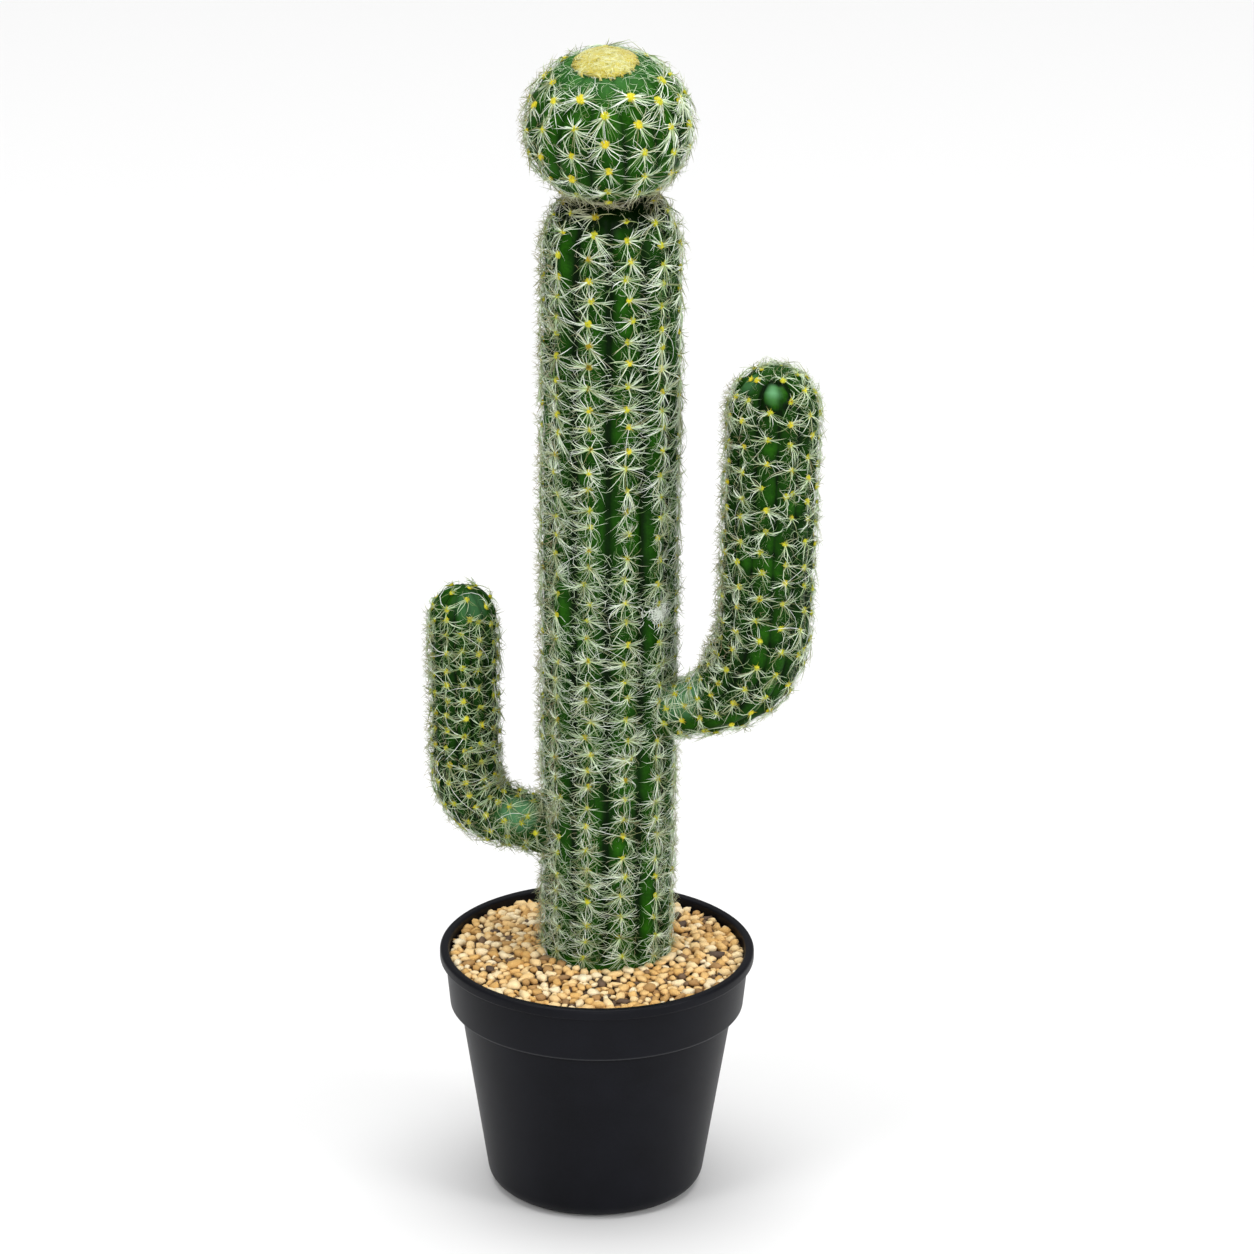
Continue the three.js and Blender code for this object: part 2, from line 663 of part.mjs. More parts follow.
function headGeometry() {
  const seat = crownSeat();
  const lowest = -Math.PI / 2 + HEAD_FOOT_TURN;
  const highest = Math.asin(seat / HEAD_HALF_HEIGHT);
  const halfPitch = HEAD_AREOLE_PITCH / 2 / ((HEAD_RADIUS + HEAD_HALF_HEIGHT) / 2);
  const steps = Math.round((highest - lowest) / halfPitch);
  const rows = [];
  for (let i = 0; i <= steps; i++) {
    const turn = lowest + (i * (highest - lowest)) / steps;
    const radius = HEAD_RADIUS * Math.cos(turn);
    const depth = (HEAD_RIB_DEPTH * radius) / HEAD_RADIUS;
    rows.push({ radius, depth, at: uprightRing(0, 0, HEAD_HALF_HEIGHT * Math.sin(turn)) });
  }
  const seatOnColumn = -HEAD_HALF_HEIGHT + HEAD_SEAT_DROP;
  const head = onHead(
    ribbedSkin({
      rows,
      ribs: HEAD_RIBS,
      phase: -Math.PI / 2,
      firstSpiny: 3,
      lastSpiny: rows.length - 2,
      room: () => SPINE_LENGTH,
      spineLength: SPINE_LENGTH,
      seed: HEAD_SEED,
    }),
  );
  const below = upright(HEAD_RADIUS, -2 * HEAD_RADIUS, seatOnColumn, HOLE_SIDES, 0, 0);
  below.translate(headMiddle.x, headMiddle.y, headMiddle.z);
  return geometryOf(solidOf(head).subtract(solidOf(below)));
}

function crownGeometry() {
  const seat = crownSeat() + GAP;
  const foot = CROWN_RADIUS - CROWN_FOOT_INSET;
  const rows = [{ radius: foot, depth: CROWN_FOOT_DEPTH, at: uprightRing(0, 0, seat) }];
  for (let i = 1; i <= CROWN_RINGS; i++) {
    const turn = CROWN_RING_TURN * i;
    const radius = CROWN_RADIUS * Math.cos(turn);
    const height = seat + CROWN_HEIGHT * Math.sin(turn);
    const depth = CROWN_DEPTH_SHARE * radius;
    rows.push({ radius, depth, at: uprightRing(0, 0, height) });
  }
  return onHead(
    ribbedSkin({
      rows,
      ribs: CROWN_RIBS,
      phase: 0,
      firstSpiny: 2,
      lastSpiny: rows.length - 2,
      room: () => SPINE_LENGTH,
      spineLength: CROWN_TUFT,
      seed: CROWN_SEED,
    }),
  );
}

function piece(name, geometry, colour, roughness) {
  const material = new THREE.MeshStandardMaterial({
    color: colour,
    roughness,
    metalness: 0,
    flatShading: true,
  });
  const mesh = new THREE.Mesh(geometry, material);
  mesh.name = name;
  return mesh;
}

const POT_BLACK = 0x222326;
const SOIL_BROWN = 0x3a2a1e;
const STONE_TAN = 0xc29f6b;
const SKIN_GREEN = 0x1f5a2a;
const WOOL_YELLOW = 0xe6d34a;
const cactus = new THREE.Group();
cactus.add(
  piece("pot", potGeometry(), POT_BLACK, 0.55),
  piece("potting_soil", soilGeometry(), SOIL_BROWN, 0.95),
  piece("gravel", gravelGeometry(), STONE_TAN, 0.8),
  piece("column", columnGeometry(), SKIN_GREEN, 0.5),
  piece("right_arm", armGeometry(RIGHT_ARM), SKIN_GREEN, 0.5),
  piece("left_arm", armGeometry(LEFT_ARM), SKIN_GREEN, 0.5),
  piece("head", headGeometry(), SKIN_GREEN, 0.5),
  piece("crown_wool", crownGeometry(), WOOL_YELLOW, 0.9),
);

export default cactus;
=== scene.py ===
# Dresses the potted old man cactus: ribbed green skins with yellow areoles and white
# hairs, a woolly crown, washed pebbles, potting soil and a black nursery pot.
# Lengths are in millimetres until a piece is finished, which turns them into metres.
import math
from bisect import bisect
from collections import namedtuple
from random import Random

import bmesh
import bpy
from mathutils import Matrix, Vector, noise


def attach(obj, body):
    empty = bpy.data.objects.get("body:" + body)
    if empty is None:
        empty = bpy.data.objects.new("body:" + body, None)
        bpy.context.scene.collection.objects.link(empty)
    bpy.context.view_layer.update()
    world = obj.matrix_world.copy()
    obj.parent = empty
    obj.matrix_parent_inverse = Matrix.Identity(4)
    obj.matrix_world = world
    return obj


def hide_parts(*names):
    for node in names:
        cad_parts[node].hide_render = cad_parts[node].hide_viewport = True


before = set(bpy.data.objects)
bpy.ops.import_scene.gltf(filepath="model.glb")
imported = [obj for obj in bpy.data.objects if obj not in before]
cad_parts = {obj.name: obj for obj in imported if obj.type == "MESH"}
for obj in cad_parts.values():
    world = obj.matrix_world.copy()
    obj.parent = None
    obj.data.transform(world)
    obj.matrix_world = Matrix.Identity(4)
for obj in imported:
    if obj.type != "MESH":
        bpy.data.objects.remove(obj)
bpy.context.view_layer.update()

scene = bpy.context.scene

MM = 0.001
FULL_TURN = 2 * math.pi
RIGHT_ANGLE = math.pi / 2
ACROSS = Vector((1, 0, 0))
BACK = Vector((0, 1, 0))
UP = Vector((0, 0, 1))

# The pot, as in the part.
POT_HEIGHT = 121
RIM_RADIUS = 75
LIP_LOW = 115.8
BAND_LOW = 92.5
BAND_RADIUS_LOW = 70
BAND_RADIUS_HIGH = 72.4
WALL = 2
WALL_SLOPE = 0.163
WALL_RADIUS_AT_FLOOR = 50.2
BASE_FILLET = 9.5
EDGE_ROUND = 1
LIP_ROUND = 1.5
BAND_SHADOW = 6  # how far under the band the wall has a painted shadow
BAND_HIGHLIGHT = 2  # and how far up the band its edge has a painted highlight
FLOOR = 2.6
INNER_FILLET = 5.5
DRAIN_HOLES = 6
DRAIN_RADIUS = 4.5
DRAIN_CIRCLE = 27
POT_STEPS = 128
FILLET_STEPS = 8
EDGE_STEPS = 5
LIP_STEPS = 6

# The filling, as in the part.
SOIL_TOP = 106
GAP = 0.3
GRAVEL_TOP = 116.2
GRAVEL_MOUND = 2.6

# The column, as in the part.
COLUMN_X = 4.8
COLUMN_Y = 4
COLUMN_FOOT = 60
COLUMN_RADIUS_LOW = 30
COLUMN_RADIUS_HIGH = 32
COLUMN_WIDEST = 420
SHOULDER_START = 474
COLUMN_TOP = 501
COLUMN_TOP_RADIUS = 15
COLUMN_TURN_DEG = -18.5
TUFT_HEIGHT = 301
TUFT_TURN_DEG = -44.3

# The arms, as in the part.
Arm = namedtuple(
    "Arm", "side forward_deg socket_height root_lean_deg top_lean_deg straight bend upright "
    "root_radius radius swell_end"
)
RIGHT_ARM = Arm(
    side=1, forward_deg=20, socket_height=242.9, root_lean_deg=15.5, top_lean_deg=88.4,
    straight=22, bend=54, upright=105.6, root_radius=13.2, radius=21.5, swell_end=66,
)
LEFT_ARM = Arm(
    side=-1, forward_deg=-12, socket_height=175.9, root_lean_deg=12, top_lean_deg=88.7,
    straight=35, bend=22.5, upright=78, root_radius=13.2, radius=15.9, swell_end=58,
)
LEFT_ARM_DOME = 290  # height from which its smooth tip has few hairs
LEFT_DOME_AREOLES = (  # how far past the straight part, and the turn in degrees
    (17.8, 58), (14.4, 115), (20.9, 168), (8.8, 70), (4.5, 116), (8.5, 157), (7, 25),
    (7, -20), (8, -65), (7, -110), (9, -155), (16, -40), (17, -130),
)
SOCKET_DEPTH = 17
PLUG_LENGTH = 21

ARM_BUMP = Vector((81.2, -40.6, 418.6))  # a smooth bare bump near the right arm's tip
ARM_BUMP_REACH = 7
ARM_BUMP_RISE = 2.2

# Pale mint patches on the arms: the middle, the reach and the strength.
ARM_BLOOMS = (
    (Vector((37, -19, 262)), 17, 0.8),
    (Vector((67, -31, 424)), 9, 0.35),
    (Vector((-38, 1, 190)), 12, 0.8),
    (Vector((-60, 7, 293)), 11, 0.3),
)

# The head and its crown, as in the part.
HEAD_MIDDLE = Vector((2.6, 4, 535))
HEAD_RADIUS = 38.6
HEAD_HALF_HEIGHT = 35.6
HEAD_LEAN_DEG = 9
HEAD_LEFT_DEG = 2.5
HEAD_FOOT = 501.3
CROWN_RADIUS = 15.4
CROWN_HEIGHT = 3.2
CROWN_ROWS = 8
CROWN_STEPS = 64
CROWN_CURLS = 800
CURLS_PAST_RIM = 0.4
DARK_CURLS = 0.005  # the share of brown bits among the curls
HEAD_LEAN = (
    Matrix.Rotation(math.radians(HEAD_LEAN_DEG), 3, "X")
    @ Matrix.Rotation(math.radians(-HEAD_LEFT_DEG), 3, "Y")
)
CROWN_SEAT = HEAD_HALF_HEIGHT * math.sqrt(1 - ((CROWN_RADIUS + 0.6) / HEAD_RADIUS) ** 2)
CROWN_MIDDLE = HEAD_MIDDLE + HEAD_LEAN @ Vector((0, 0, CROWN_SEAT))

# The loose stones: sizes with how many tries to place each.
STONE_SIZES = ((5, 400), (4.4, 1500), (3.8, 5000), (3.3, 9000), (2.8, 12000), (2.3, 9000))
STONE_SPACING = 0.475  # least distance between two stones, as a share of both their sizes
STONE_CELL = 6
LOWER_LAYER = 2.3  # how far the second layer lies under the first
LOWER_SHADE_TONE = 0.12  # and the palest tone its stones may have, kept low so they are dark as painted shade in the gaps
BED_DEPTH = 1.6  # how far the grit lies under the stones' middles
BED_FLAT = 8
BED_OVERLAP = 0.8
BED_ROWS = 8
BED_STEPS = 96

# Skin, areoles and hairs.
SKIN_STEPS_PER_RIB = 10
SKIN_ROW = 3
POLE_RADIUS = 3  # a last ring smaller than this closes in a point
RIB_SHARPNESS = 2.3  # how suddenly a rib's flank falls into the valley
NOTCH = 0.9  # depth of the dip between two areoles on a crest
AREOLE_SHADE = 0.22  # how much painted shade darkens the skin at an areole
HAIRY_SHADE = 0.2  # and under the hairs
ARM_SHADE = 0.1  # and all over the arms
SHOULDER_SHADE_HEIGHTS = (488, 499)  # heights between which painted shade darkens the column towards the joint under the ball
UNDERSIDE_SHADE_HEIGHTS = (501, 509)  # and between which the ball's underside has painted shade
HEAD_BLOOM = 0.14  # the skin's paleness round the crown
AREOLE_RADIUS = 1.75
AREOLE_RISE = 0.9
AREOLE_SEAT = 0.15  # how much of its radius a cushion is raised
AREOLE_WANDER = 0.75  # how far an areole lies beside its crest
LEAST_RADIUS = 8  # on a thinner stem they wander no further
CREST_ROOM = 5.5  # crests nearer to each other than this carry areoles by turns
EVEN_CREST_ROOM = 3  # and none where they are nearer than this
TWIN_CHANCE = 0.04  # how many areoles have a smaller twin beside them
TWIN_STEP = 3.2
TWIN_SIZE = 0.8
HAIR_STEPS = 3
HAIR_WIDTH = 0.36
HAIR_THINNING = 0.84  # how much narrower a hair is after each stretch
FINE_FADE = 90  # height over which the hairs turn from fine to coarse
TUFTED_SHARE = 0.3  # how many of an areole's hairs lie in tufts
STANDING_SHARE = 0.25  # how many stand off the skin
CROSSING_STRANDS = 5  # one long strand for this many areoles
FUZZ_STEPS = 1
STRAY_STEPS = 5
NECK_HEIGHT = 503  # where dry tan hairs hang between the ball and the column
NECK_REACH = 11
NECK_RADIUS = 30
NECK_DRYNESS = 0.62
WOOLLY_FOOT = (190, 260)  # heights between which the column's wool thins out
LEFT_RISE = 1.3  # how much further the loose hairs stand off on a stem's left
LEFT_WIDTH = 1.7  # and how much wider they are there
CURL_STEPS = 4
MOST_TRIANGLES = 190_000


def mix(low, high, share):
    return low + (high - low) * share


def clamp(value, low=0.0, high=1.0):
    return min(max(value, low), high)


def smoothstep(value, low, high):
    share = clamp((value - low) / (high - low))
    return share * share * (3 - 2 * share)


# Meshes: rings of edges are drawn up one by one, and a finished piece rides on the body.
def next_ring(bm, edges):
    made = bmesh.ops.extrude_edge_only(bm, edges=edges)["geom"]
    verts = [item for item in made if isinstance(item, bmesh.types.BMVert)]
    fresh = set(verts)
    ring = [
        item
        for item in made
        if isinstance(item, bmesh.types.BMEdge) and fresh.issuperset(item.verts)
    ]
    return verts, ring


def to_mesh(name, bm):
    mesh = bpy.data.meshes.new(name)
    bm.to_mesh(mesh)
    bm.free()
    return mesh


def copies(template, count, *layer_names):
    """A bmesh of many copies of a mesh, and its new layers of numbers."""
    bm = bmesh.new()
    for _ in range(count):
        bm.from_mesh(template)
    layers = [bm.verts.layers.float.new(name) for name in layer_names]
    bm.verts.ensure_lookup_table()
    return bm, *layers


def add_object(name, data):
    item = bpy.data.objects.new(name, data)
    scene.collection.objects.link(item)
    return item


def finish_piece(name, bm, material, replaced=(), crease_deg=None):
    for face in bm.faces:
        face.smooth = True
    bmesh.ops.scale(bm, vec=(MM, MM, MM), verts=bm.verts)
    mesh = to_mesh(name, bm)
    if crease_deg is not None:
        mesh.set_sharp_from_angle(angle=math.radians(crease_deg))
    mesh.materials.append(material)
    piece = add_object(name, mesh)
    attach(piece, "root")
    if replaced:
        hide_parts(*replaced)
    return piece


# Materials.
def new_material(name, roughness, specular, sheen=0):
    material = bpy.data.materials.new(name)
    material.use_nodes = True
    shader = material.node_tree.nodes["Principled BSDF"]
    shader.inputs["Roughness"].default_value = roughness
    shader.inputs["Specular IOR Level"].default_value = specular
    shader.inputs["Sheen Weight"].default_value = sheen
    return material, shader


def add_node(tree, kind, **settings):
    node = tree.nodes.new(kind)
    for name, value in settings.items():
        setattr(node, name, value)
    return node


def add_ramp(tree, factor, stops):
    ramp = add_node(tree, "ShaderNodeValToRGB")
    elements = ramp.color_ramp.elements
    elements.remove(elements[1])
    elements[0].color = (*stops[0][1], 1)
    for place, colour in stops[1:]:
        elements.new(place).color = (*colour, 1)
    tree.links.new(factor, ramp.inputs["Fac"])
    return ramp.outputs["Color"]


def add_mix(tree, factor, first, second, blend="MIX"):
    node = add_node(tree, "ShaderNodeMix", data_type="RGBA", blend_type=blend)
    for socket, value in ((0, factor), (6, first), (7, second)):
        if isinstance(value, bpy.types.NodeSocket):
            tree.links.new(value, node.inputs[socket])
        elif socket == 0:
            node.inputs[socket].default_value = value
        else:
            node.inputs[socket].default_value = (*value, 1)
    return node.outputs[2]


def add_attribute(tree, name):
    return add_node(tree, "ShaderNodeAttribute", attribute_name=name).outputs["Fac"]


def add_bump(tree, shader, height, strength, distance):
    bump = add_node(tree, "ShaderNodeBump")
    bump.inputs["Strength"].default_value = strength
    bump.inputs["Distance"].default_value = distance
    tree.links.new(height, bump.inputs["Height"])
    tree.links.new(bump.outputs["Normal"], shader.inputs["Normal"])


# Cloudy patches between two colours, with a finer grain over them.
def mottling_group():
    group = bpy.data.node_groups.new("mottling", "ShaderNodeTree")
    for name, way, kind in (
        ("Dark", "INPUT", "Color"),
        ("Light", "INPUT", "Color"),
        ("Patch Scale", "INPUT", "Float"),
        ("Grain Scale", "INPUT", "Float"),
        ("Grain Share", "INPUT", "Float"),
        ("Color", "OUTPUT", "Color"),
        ("Grain", "OUTPUT", "Float"),
    ):
        group.interface.new_socket(name=name, in_out=way, socket_type=f"NodeSocket{kind}")
    start = add_node(group, "NodeGroupInput")
    end = add_node(group, "NodeGroupOutput")
    place = add_node(group, "ShaderNodeTexCoord").outputs["Object"]
    noises = []
    for scale, detail in (("Patch Scale", 3), ("Grain Scale", 2)):
        texture = add_node(group, "ShaderNodeTexNoise")
        texture.inputs["Detail"].default_value = detail
        group.links.new(place, texture.inputs["Vector"])
        group.links.new(start.outputs[scale], texture.inputs["Scale"])
        noises.append(texture.outputs["Fac"])
    both = add_node(group, "ShaderNodeMix", data_type="FLOAT")
    group.links.new(start.outputs["Grain Share"], both.inputs[0])
    group.links.new(noises[0], both.inputs[2])
    group.links.new(noises[1], both.inputs[3])
    spread = add_node(group, "ShaderNodeMapRange")
    spread.inputs["From Min"].default_value = 0.32
    spread.inputs["From Max"].default_value = 0.68
    group.links.new(both.outputs[0], spread.inputs["Value"])
    colour = add_mix(
        group, spread.outputs["Result"], start.outputs["Dark"], start.outputs["Light"]
    )
    group.links.new(colour, end.inputs["Color"])
    group.links.new(noises[1], end.inputs["Grain"])
    return group


MOTTLING = mottling_group()


def add_mottling(tree, dark, light, patch, grain, share):
    node = add_node(tree, "ShaderNodeGroup", node_tree=MOTTLING)
    for socket, value in zip(node.inputs, ((*dark, 1), (*light, 1), patch, grain, share)):
        socket.default_value = value
    return node.outputs["Color"], node.outputs["Grain"]


def skin_material():
    material, shader = new_material("waxy_green_skin", roughness=0.4, specular=0.05)
    tree = material.node_tree
    colour, grain = add_mottling(
        tree, (0.004, 0.036, 0.0003), (0.026, 0.135, 0.003), patch=55, grain=900, share=0.35
    )
    # Painted shade: darker in the valleys, at the areoles, under the hairs and under the ball.
    shade = add_ramp(
        tree, add_attribute(tree, "painted_shade"),
        [(0.0, (1, 1, 1)), (0.25, (0.55, 0.62, 0.55)), (0.75, (0.07, 0.1, 0.07))],
    )
    colour = add_mix(tree, 1.0, colour, shade, "MULTIPLY")
    # Pale bloom, and the painted highlight on the right arm's bump.
    colour = add_mix(tree, add_attribute(tree, "bloom_and_highlight"), colour, (0.11, 0.29, 0.13))
    tree.links.new(colour, shader.inputs["Base Color"])
    add_bump(tree, shader, grain, strength=0.35, distance=0.0003)
    return material


def areole_material():
    material, shader = new_material("golden_felt", roughness=0.9, specular=0.15, sheen=0.1)
    tree = material.node_tree
    colour, grain = add_mottling(
        tree, (0.38, 0.36, 0.006), (0.8, 0.74, 0.05), patch=600, grain=2500, share=0.5
    )
    shade = add_ramp(
        tree, add_attribute(tree, "tone"),
        [
            (0.0, (0.06, 0.04, 0.02)),
            (0.06, (0.6, 0.5, 0.3)),
            (0.14, (0.75, 0.85, 0.8)),
            (0.55, (1, 1, 1)),
            (0.8, (1, 0.88, 0.6)),
            (1.0, (0.97, 0.78, 0.4)),
        ],
    )
    tree.links.new(add_mix(tree, 1.0, colour, shade, "MULTIPLY"), shader.inputs["Base Color"])
    add_bump(tree, shader, grain, strength=0.8, distance=0.0004)
    return material


def hair_material():
    material, shader = new_material("white_hair", roughness=0.55, specular=0.35)
    tree = material.node_tree
    # The dark green tones are painted shade and painted green light through the hairs; the pale
    # ones are the hairs' white.
    colour = add_ramp(
        tree, add_attribute(tree, "tone"),
        [
            (0.0, (0.05, 0.12, 0.02)),
            (0.3, (0.2, 0.34, 0.11)),
            (0.6, (0.65, 0.81, 0.53)),
            (1.0, (0.96, 1.0, 0.94)),
        ],
    )
    root = add_ramp(
        tree, add_attribute(tree, "along"),
        [(0.0, (0.9, 0.85, 0.18)), (0.14, (0.96, 0.98, 0.78)), (0.3, (1, 1, 1))],
    )
    colour = add_mix(tree, 1.0, colour, root, "MULTIPLY")
    dry = add_mix(tree, add_attribute(tree, "dry"), colour, (0.34, 0.26, 0.13))
    tree.links.new(dry, shader.inputs["Base Color"])
    return material


def wool_material():
    material, shader = new_material("crown_wool", roughness=0.85, specular=0.2, sheen=0.4)
    tree = material.node_tree
    colour, grain = add_mottling(
        tree, (0.4, 0.36, 0.04), (0.53, 0.49, 0.12), patch=350, grain=1800, share=0.3
    )
    pale = add_ramp(
        tree, add_attribute(tree, "tone"),
        [
            (0.0, (0.07, 0.08, 0.01)),
            (0.08, (0.5, 0.37, 0.02)),
            (0.4, (0.46, 0.39, 0.04)),
            (0.7, (0.52, 0.5, 0.14)),
            (1.0, (0.68, 0.7, 0.4)),
        ],
    )
    tree.links.new(add_mix(tree, 0.65, colour, pale), shader.inputs["Base Color"])
    add_bump(tree, shader, grain, strength=0.35, distance=0.0004)
    return material


def pebble_material():
    material, shader = new_material("washed_pebbles", roughness=0.72, specular=0.35)
    tree = material.node_tree
    mottle, grain = add_mottling(
        tree, (0.78, 0.75, 0.7), (1, 1, 1), patch=380, grain=1600, share=0.5
    )
    stone = add_ramp(
        tree, add_attribute(tree, "tone"),
        [
            (0.0, (0.08, 0.055, 0.04)),
            (0.05, (0.16, 0.1, 0.06)),
            (0.1, (0.42, 0.24, 0.09)),
            (0.3, (0.76, 0.46, 0.15)),
            (0.5, (0.86, 0.58, 0.25)),
            (0.75, (0.93, 0.71, 0.38)),
            (1.0, (0.97, 0.85, 0.6)),
        ],
    )
    tree.links.new(add_mix(tree, 1.0, stone, mottle, "MULTIPLY"), shader.inputs["Base Color"])
    add_bump(tree, shader, grain, strength=0.5, distance=0.0005)
    return material


def crumbly_material(name, roughness, specular, crumb, **mottling):
    """Grit painted dark as shade, or soil. crumb is the bumps' depth, and mottling what
    add_mottling takes.
    """
    material, shader = new_material(name, roughness, specular)
    tree = material.node_tree
    colour, grain = add_mottling(tree, **mottling)
    tree.links.new(colour, shader.inputs["Base Color"])
    add_bump(tree, shader, grain, strength=1.0, distance=crumb)
    return material


def pot_material():
    material, shader = new_material("black_moulded_plastic", roughness=0.42, specular=0.1)
    tree = material.node_tree
    colour, grain = add_mottling(
        tree, (0.0028, 0.003, 0.0046), (0.0054, 0.0058, 0.0088), patch=40, grain=1800,
        share=0.4,
    )
    # A painted highlight runs along the band's lower edge, and a painted shadow lies on the
    # wall just under it.
    place = add_node(tree, "ShaderNodeTexCoord")
    axes = add_node(tree, "ShaderNodeSeparateXYZ")
    height = add_node(tree, "ShaderNodeMapRange")
    height.inputs["From Min"].default_value = (BAND_LOW - BAND_SHADOW) * MM
    height.inputs["From Max"].default_value = (BAND_LOW + BAND_HIGHLIGHT) * MM
    tree.links.new(place.outputs["Object"], axes.inputs["Vector"])
    tree.links.new(axes.outputs["Z"], height.inputs["Value"])
    near_band = height.outputs["Result"]
    none, some, full = ((share, share, share) for share in (0, 0.1, 1))
    shadow = add_ramp(tree, near_band, [(0, full), (0.3, full), (0.72, some), (0.75, full)])
    painted_highlight = add_ramp(
        tree, near_band, [(0, none), (0.75, none), (0.78, full), (0.84, full), (0.9, none)]
    )
    colour = add_mix(tree, 1.0, colour, shadow, "MULTIPLY")
    colour = add_mix(tree, painted_highlight, colour, (0.026, 0.027, 0.03))
    tree.links.new(colour, shader.inputs["Base Color"])
    add_bump(tree, shader, grain, strength=0.25, distance=0.0002)
    return material


SKIN = skin_material()
FELT = areole_material()
WHITE = hair_material()
WOOL = wool_material()
STONE = pebble_material()
GRIT_AND_SHADE = crumbly_material(
    "gravel_grit_and_painted_shade", roughness=0.95, specular=0.2, crumb=0.001, dark=(0.02, 0.012, 0.006),
    light=(0.12, 0.065, 0.03), patch=420, grain=1500, share=0.5,
)
SOIL = crumbly_material(
    "bark_and_peat", roughness=0.97, specular=0.15, crumb=0.002, dark=(0.012, 0.007, 0.004),
    light=(0.09, 0.052, 0.028), patch=160, grain=900, share=0.45,
)
PLASTIC = pot_material()

# A stem is told by its cross-sections: where the middle is at a distance along it, which
# ways the ring lies, its radius, and how far the skin there leans towards the tip.
Section = namedtuple("Section", "middle side front along radius tilt")


def column_radius(height):
    share = (height - SOIL_TOP) / (COLUMN_WIDEST - SOIL_TOP)
    swell = math.sin(RIGHT_ANGLE * clamp(share, 0, 1.3))
    return mix(COLUMN_RADIUS_LOW, COLUMN_RADIUS_HIGH, swell)


def column_section(s):
    height = s
    radius = column_radius(min(s, SHOULDER_START))
    tilt = 0
    if s > SHOULDER_START:
        rise = COLUMN_TOP - SHOULDER_START
        inward = radius - COLUMN_TOP_RADIUS
        turn = min((s - SHOULDER_START) / rise, RIGHT_ANGLE)
        height = SHOULDER_START + rise * math.sin(turn)
        radius = COLUMN_TOP_RADIUS + inward * math.cos(turn)
        tilt = math.atan2(inward * math.sin(turn), rise * math.cos(turn))
    middle = Vector((COLUMN_X, COLUMN_Y, height))
    return Section(middle, ACROSS, BACK, UP, radius, tilt)


def bend_length(arm):
    return arm.bend * math.radians(arm.top_lean_deg - arm.root_lean_deg)


def arm_length(arm):
    return arm.straight + bend_length(arm) + arm.upright


def arm_section(arm, s):
    lean = math.radians(arm.root_lean_deg)
    swing = math.radians(arm.forward_deg)
    out = Vector((arm.side * math.cos(swing), -math.sin(swing), 0))
    straight = min(s, arm.straight)
    angle = lean + clamp(s - arm.straight, 0, bend_length(arm)) / arm.bend
    rising = clamp(s - arm.straight - bend_length(arm), 0, arm.upright)
    reach = (
        SOCKET_DEPTH
        + straight * math.cos(lean)
        + arm.bend * (math.sin(angle) - math.sin(lean))
        + rising * math.cos(angle)
    )
    height = (
        arm.socket_height
        + straight * math.sin(lean)
        + arm.bend * (math.cos(lean) - math.cos(angle))
        + rising * math.sin(angle)
    )
    along = out * math.cos(angle) + UP * math.sin(angle)
    front = along.cross(out).normalized()
    side = front.cross(along).normalized()
    radius = mix(arm.root_radius, arm.radius, smoothstep(s, PLUG_LENGTH, arm.swell_end))
    tilt = clamp((s - arm_length(arm)) / arm.radius, 0, RIGHT_ANGLE)
    middle = Vector((COLUMN_X, COLUMN_Y, height)) + out * reach
    middle += along * (arm.radius * math.sin(tilt))
    return Section(middle, side, front, along, radius * math.cos(tilt), tilt)


def head_section(s):
    turn = s / HEAD_RADIUS - RIGHT_ANGLE
    middle = HEAD_MIDDLE + HEAD_LEAN @ (UP * HEAD_HALF_HEIGHT * math.sin(turn))
    tilt = math.atan2(HEAD_RADIUS * math.sin(turn), HEAD_HALF_HEIGHT * math.cos(turn))
    radius = HEAD_RADIUS * max(math.cos(turn), 0)
    return Section(
        middle, HEAD_LEAN @ ACROSS, HEAD_LEAN @ BACK, HEAD_LEAN @ UP, radius, tilt
    )


Areole = namedtuple("Areole", "s turn size tone")


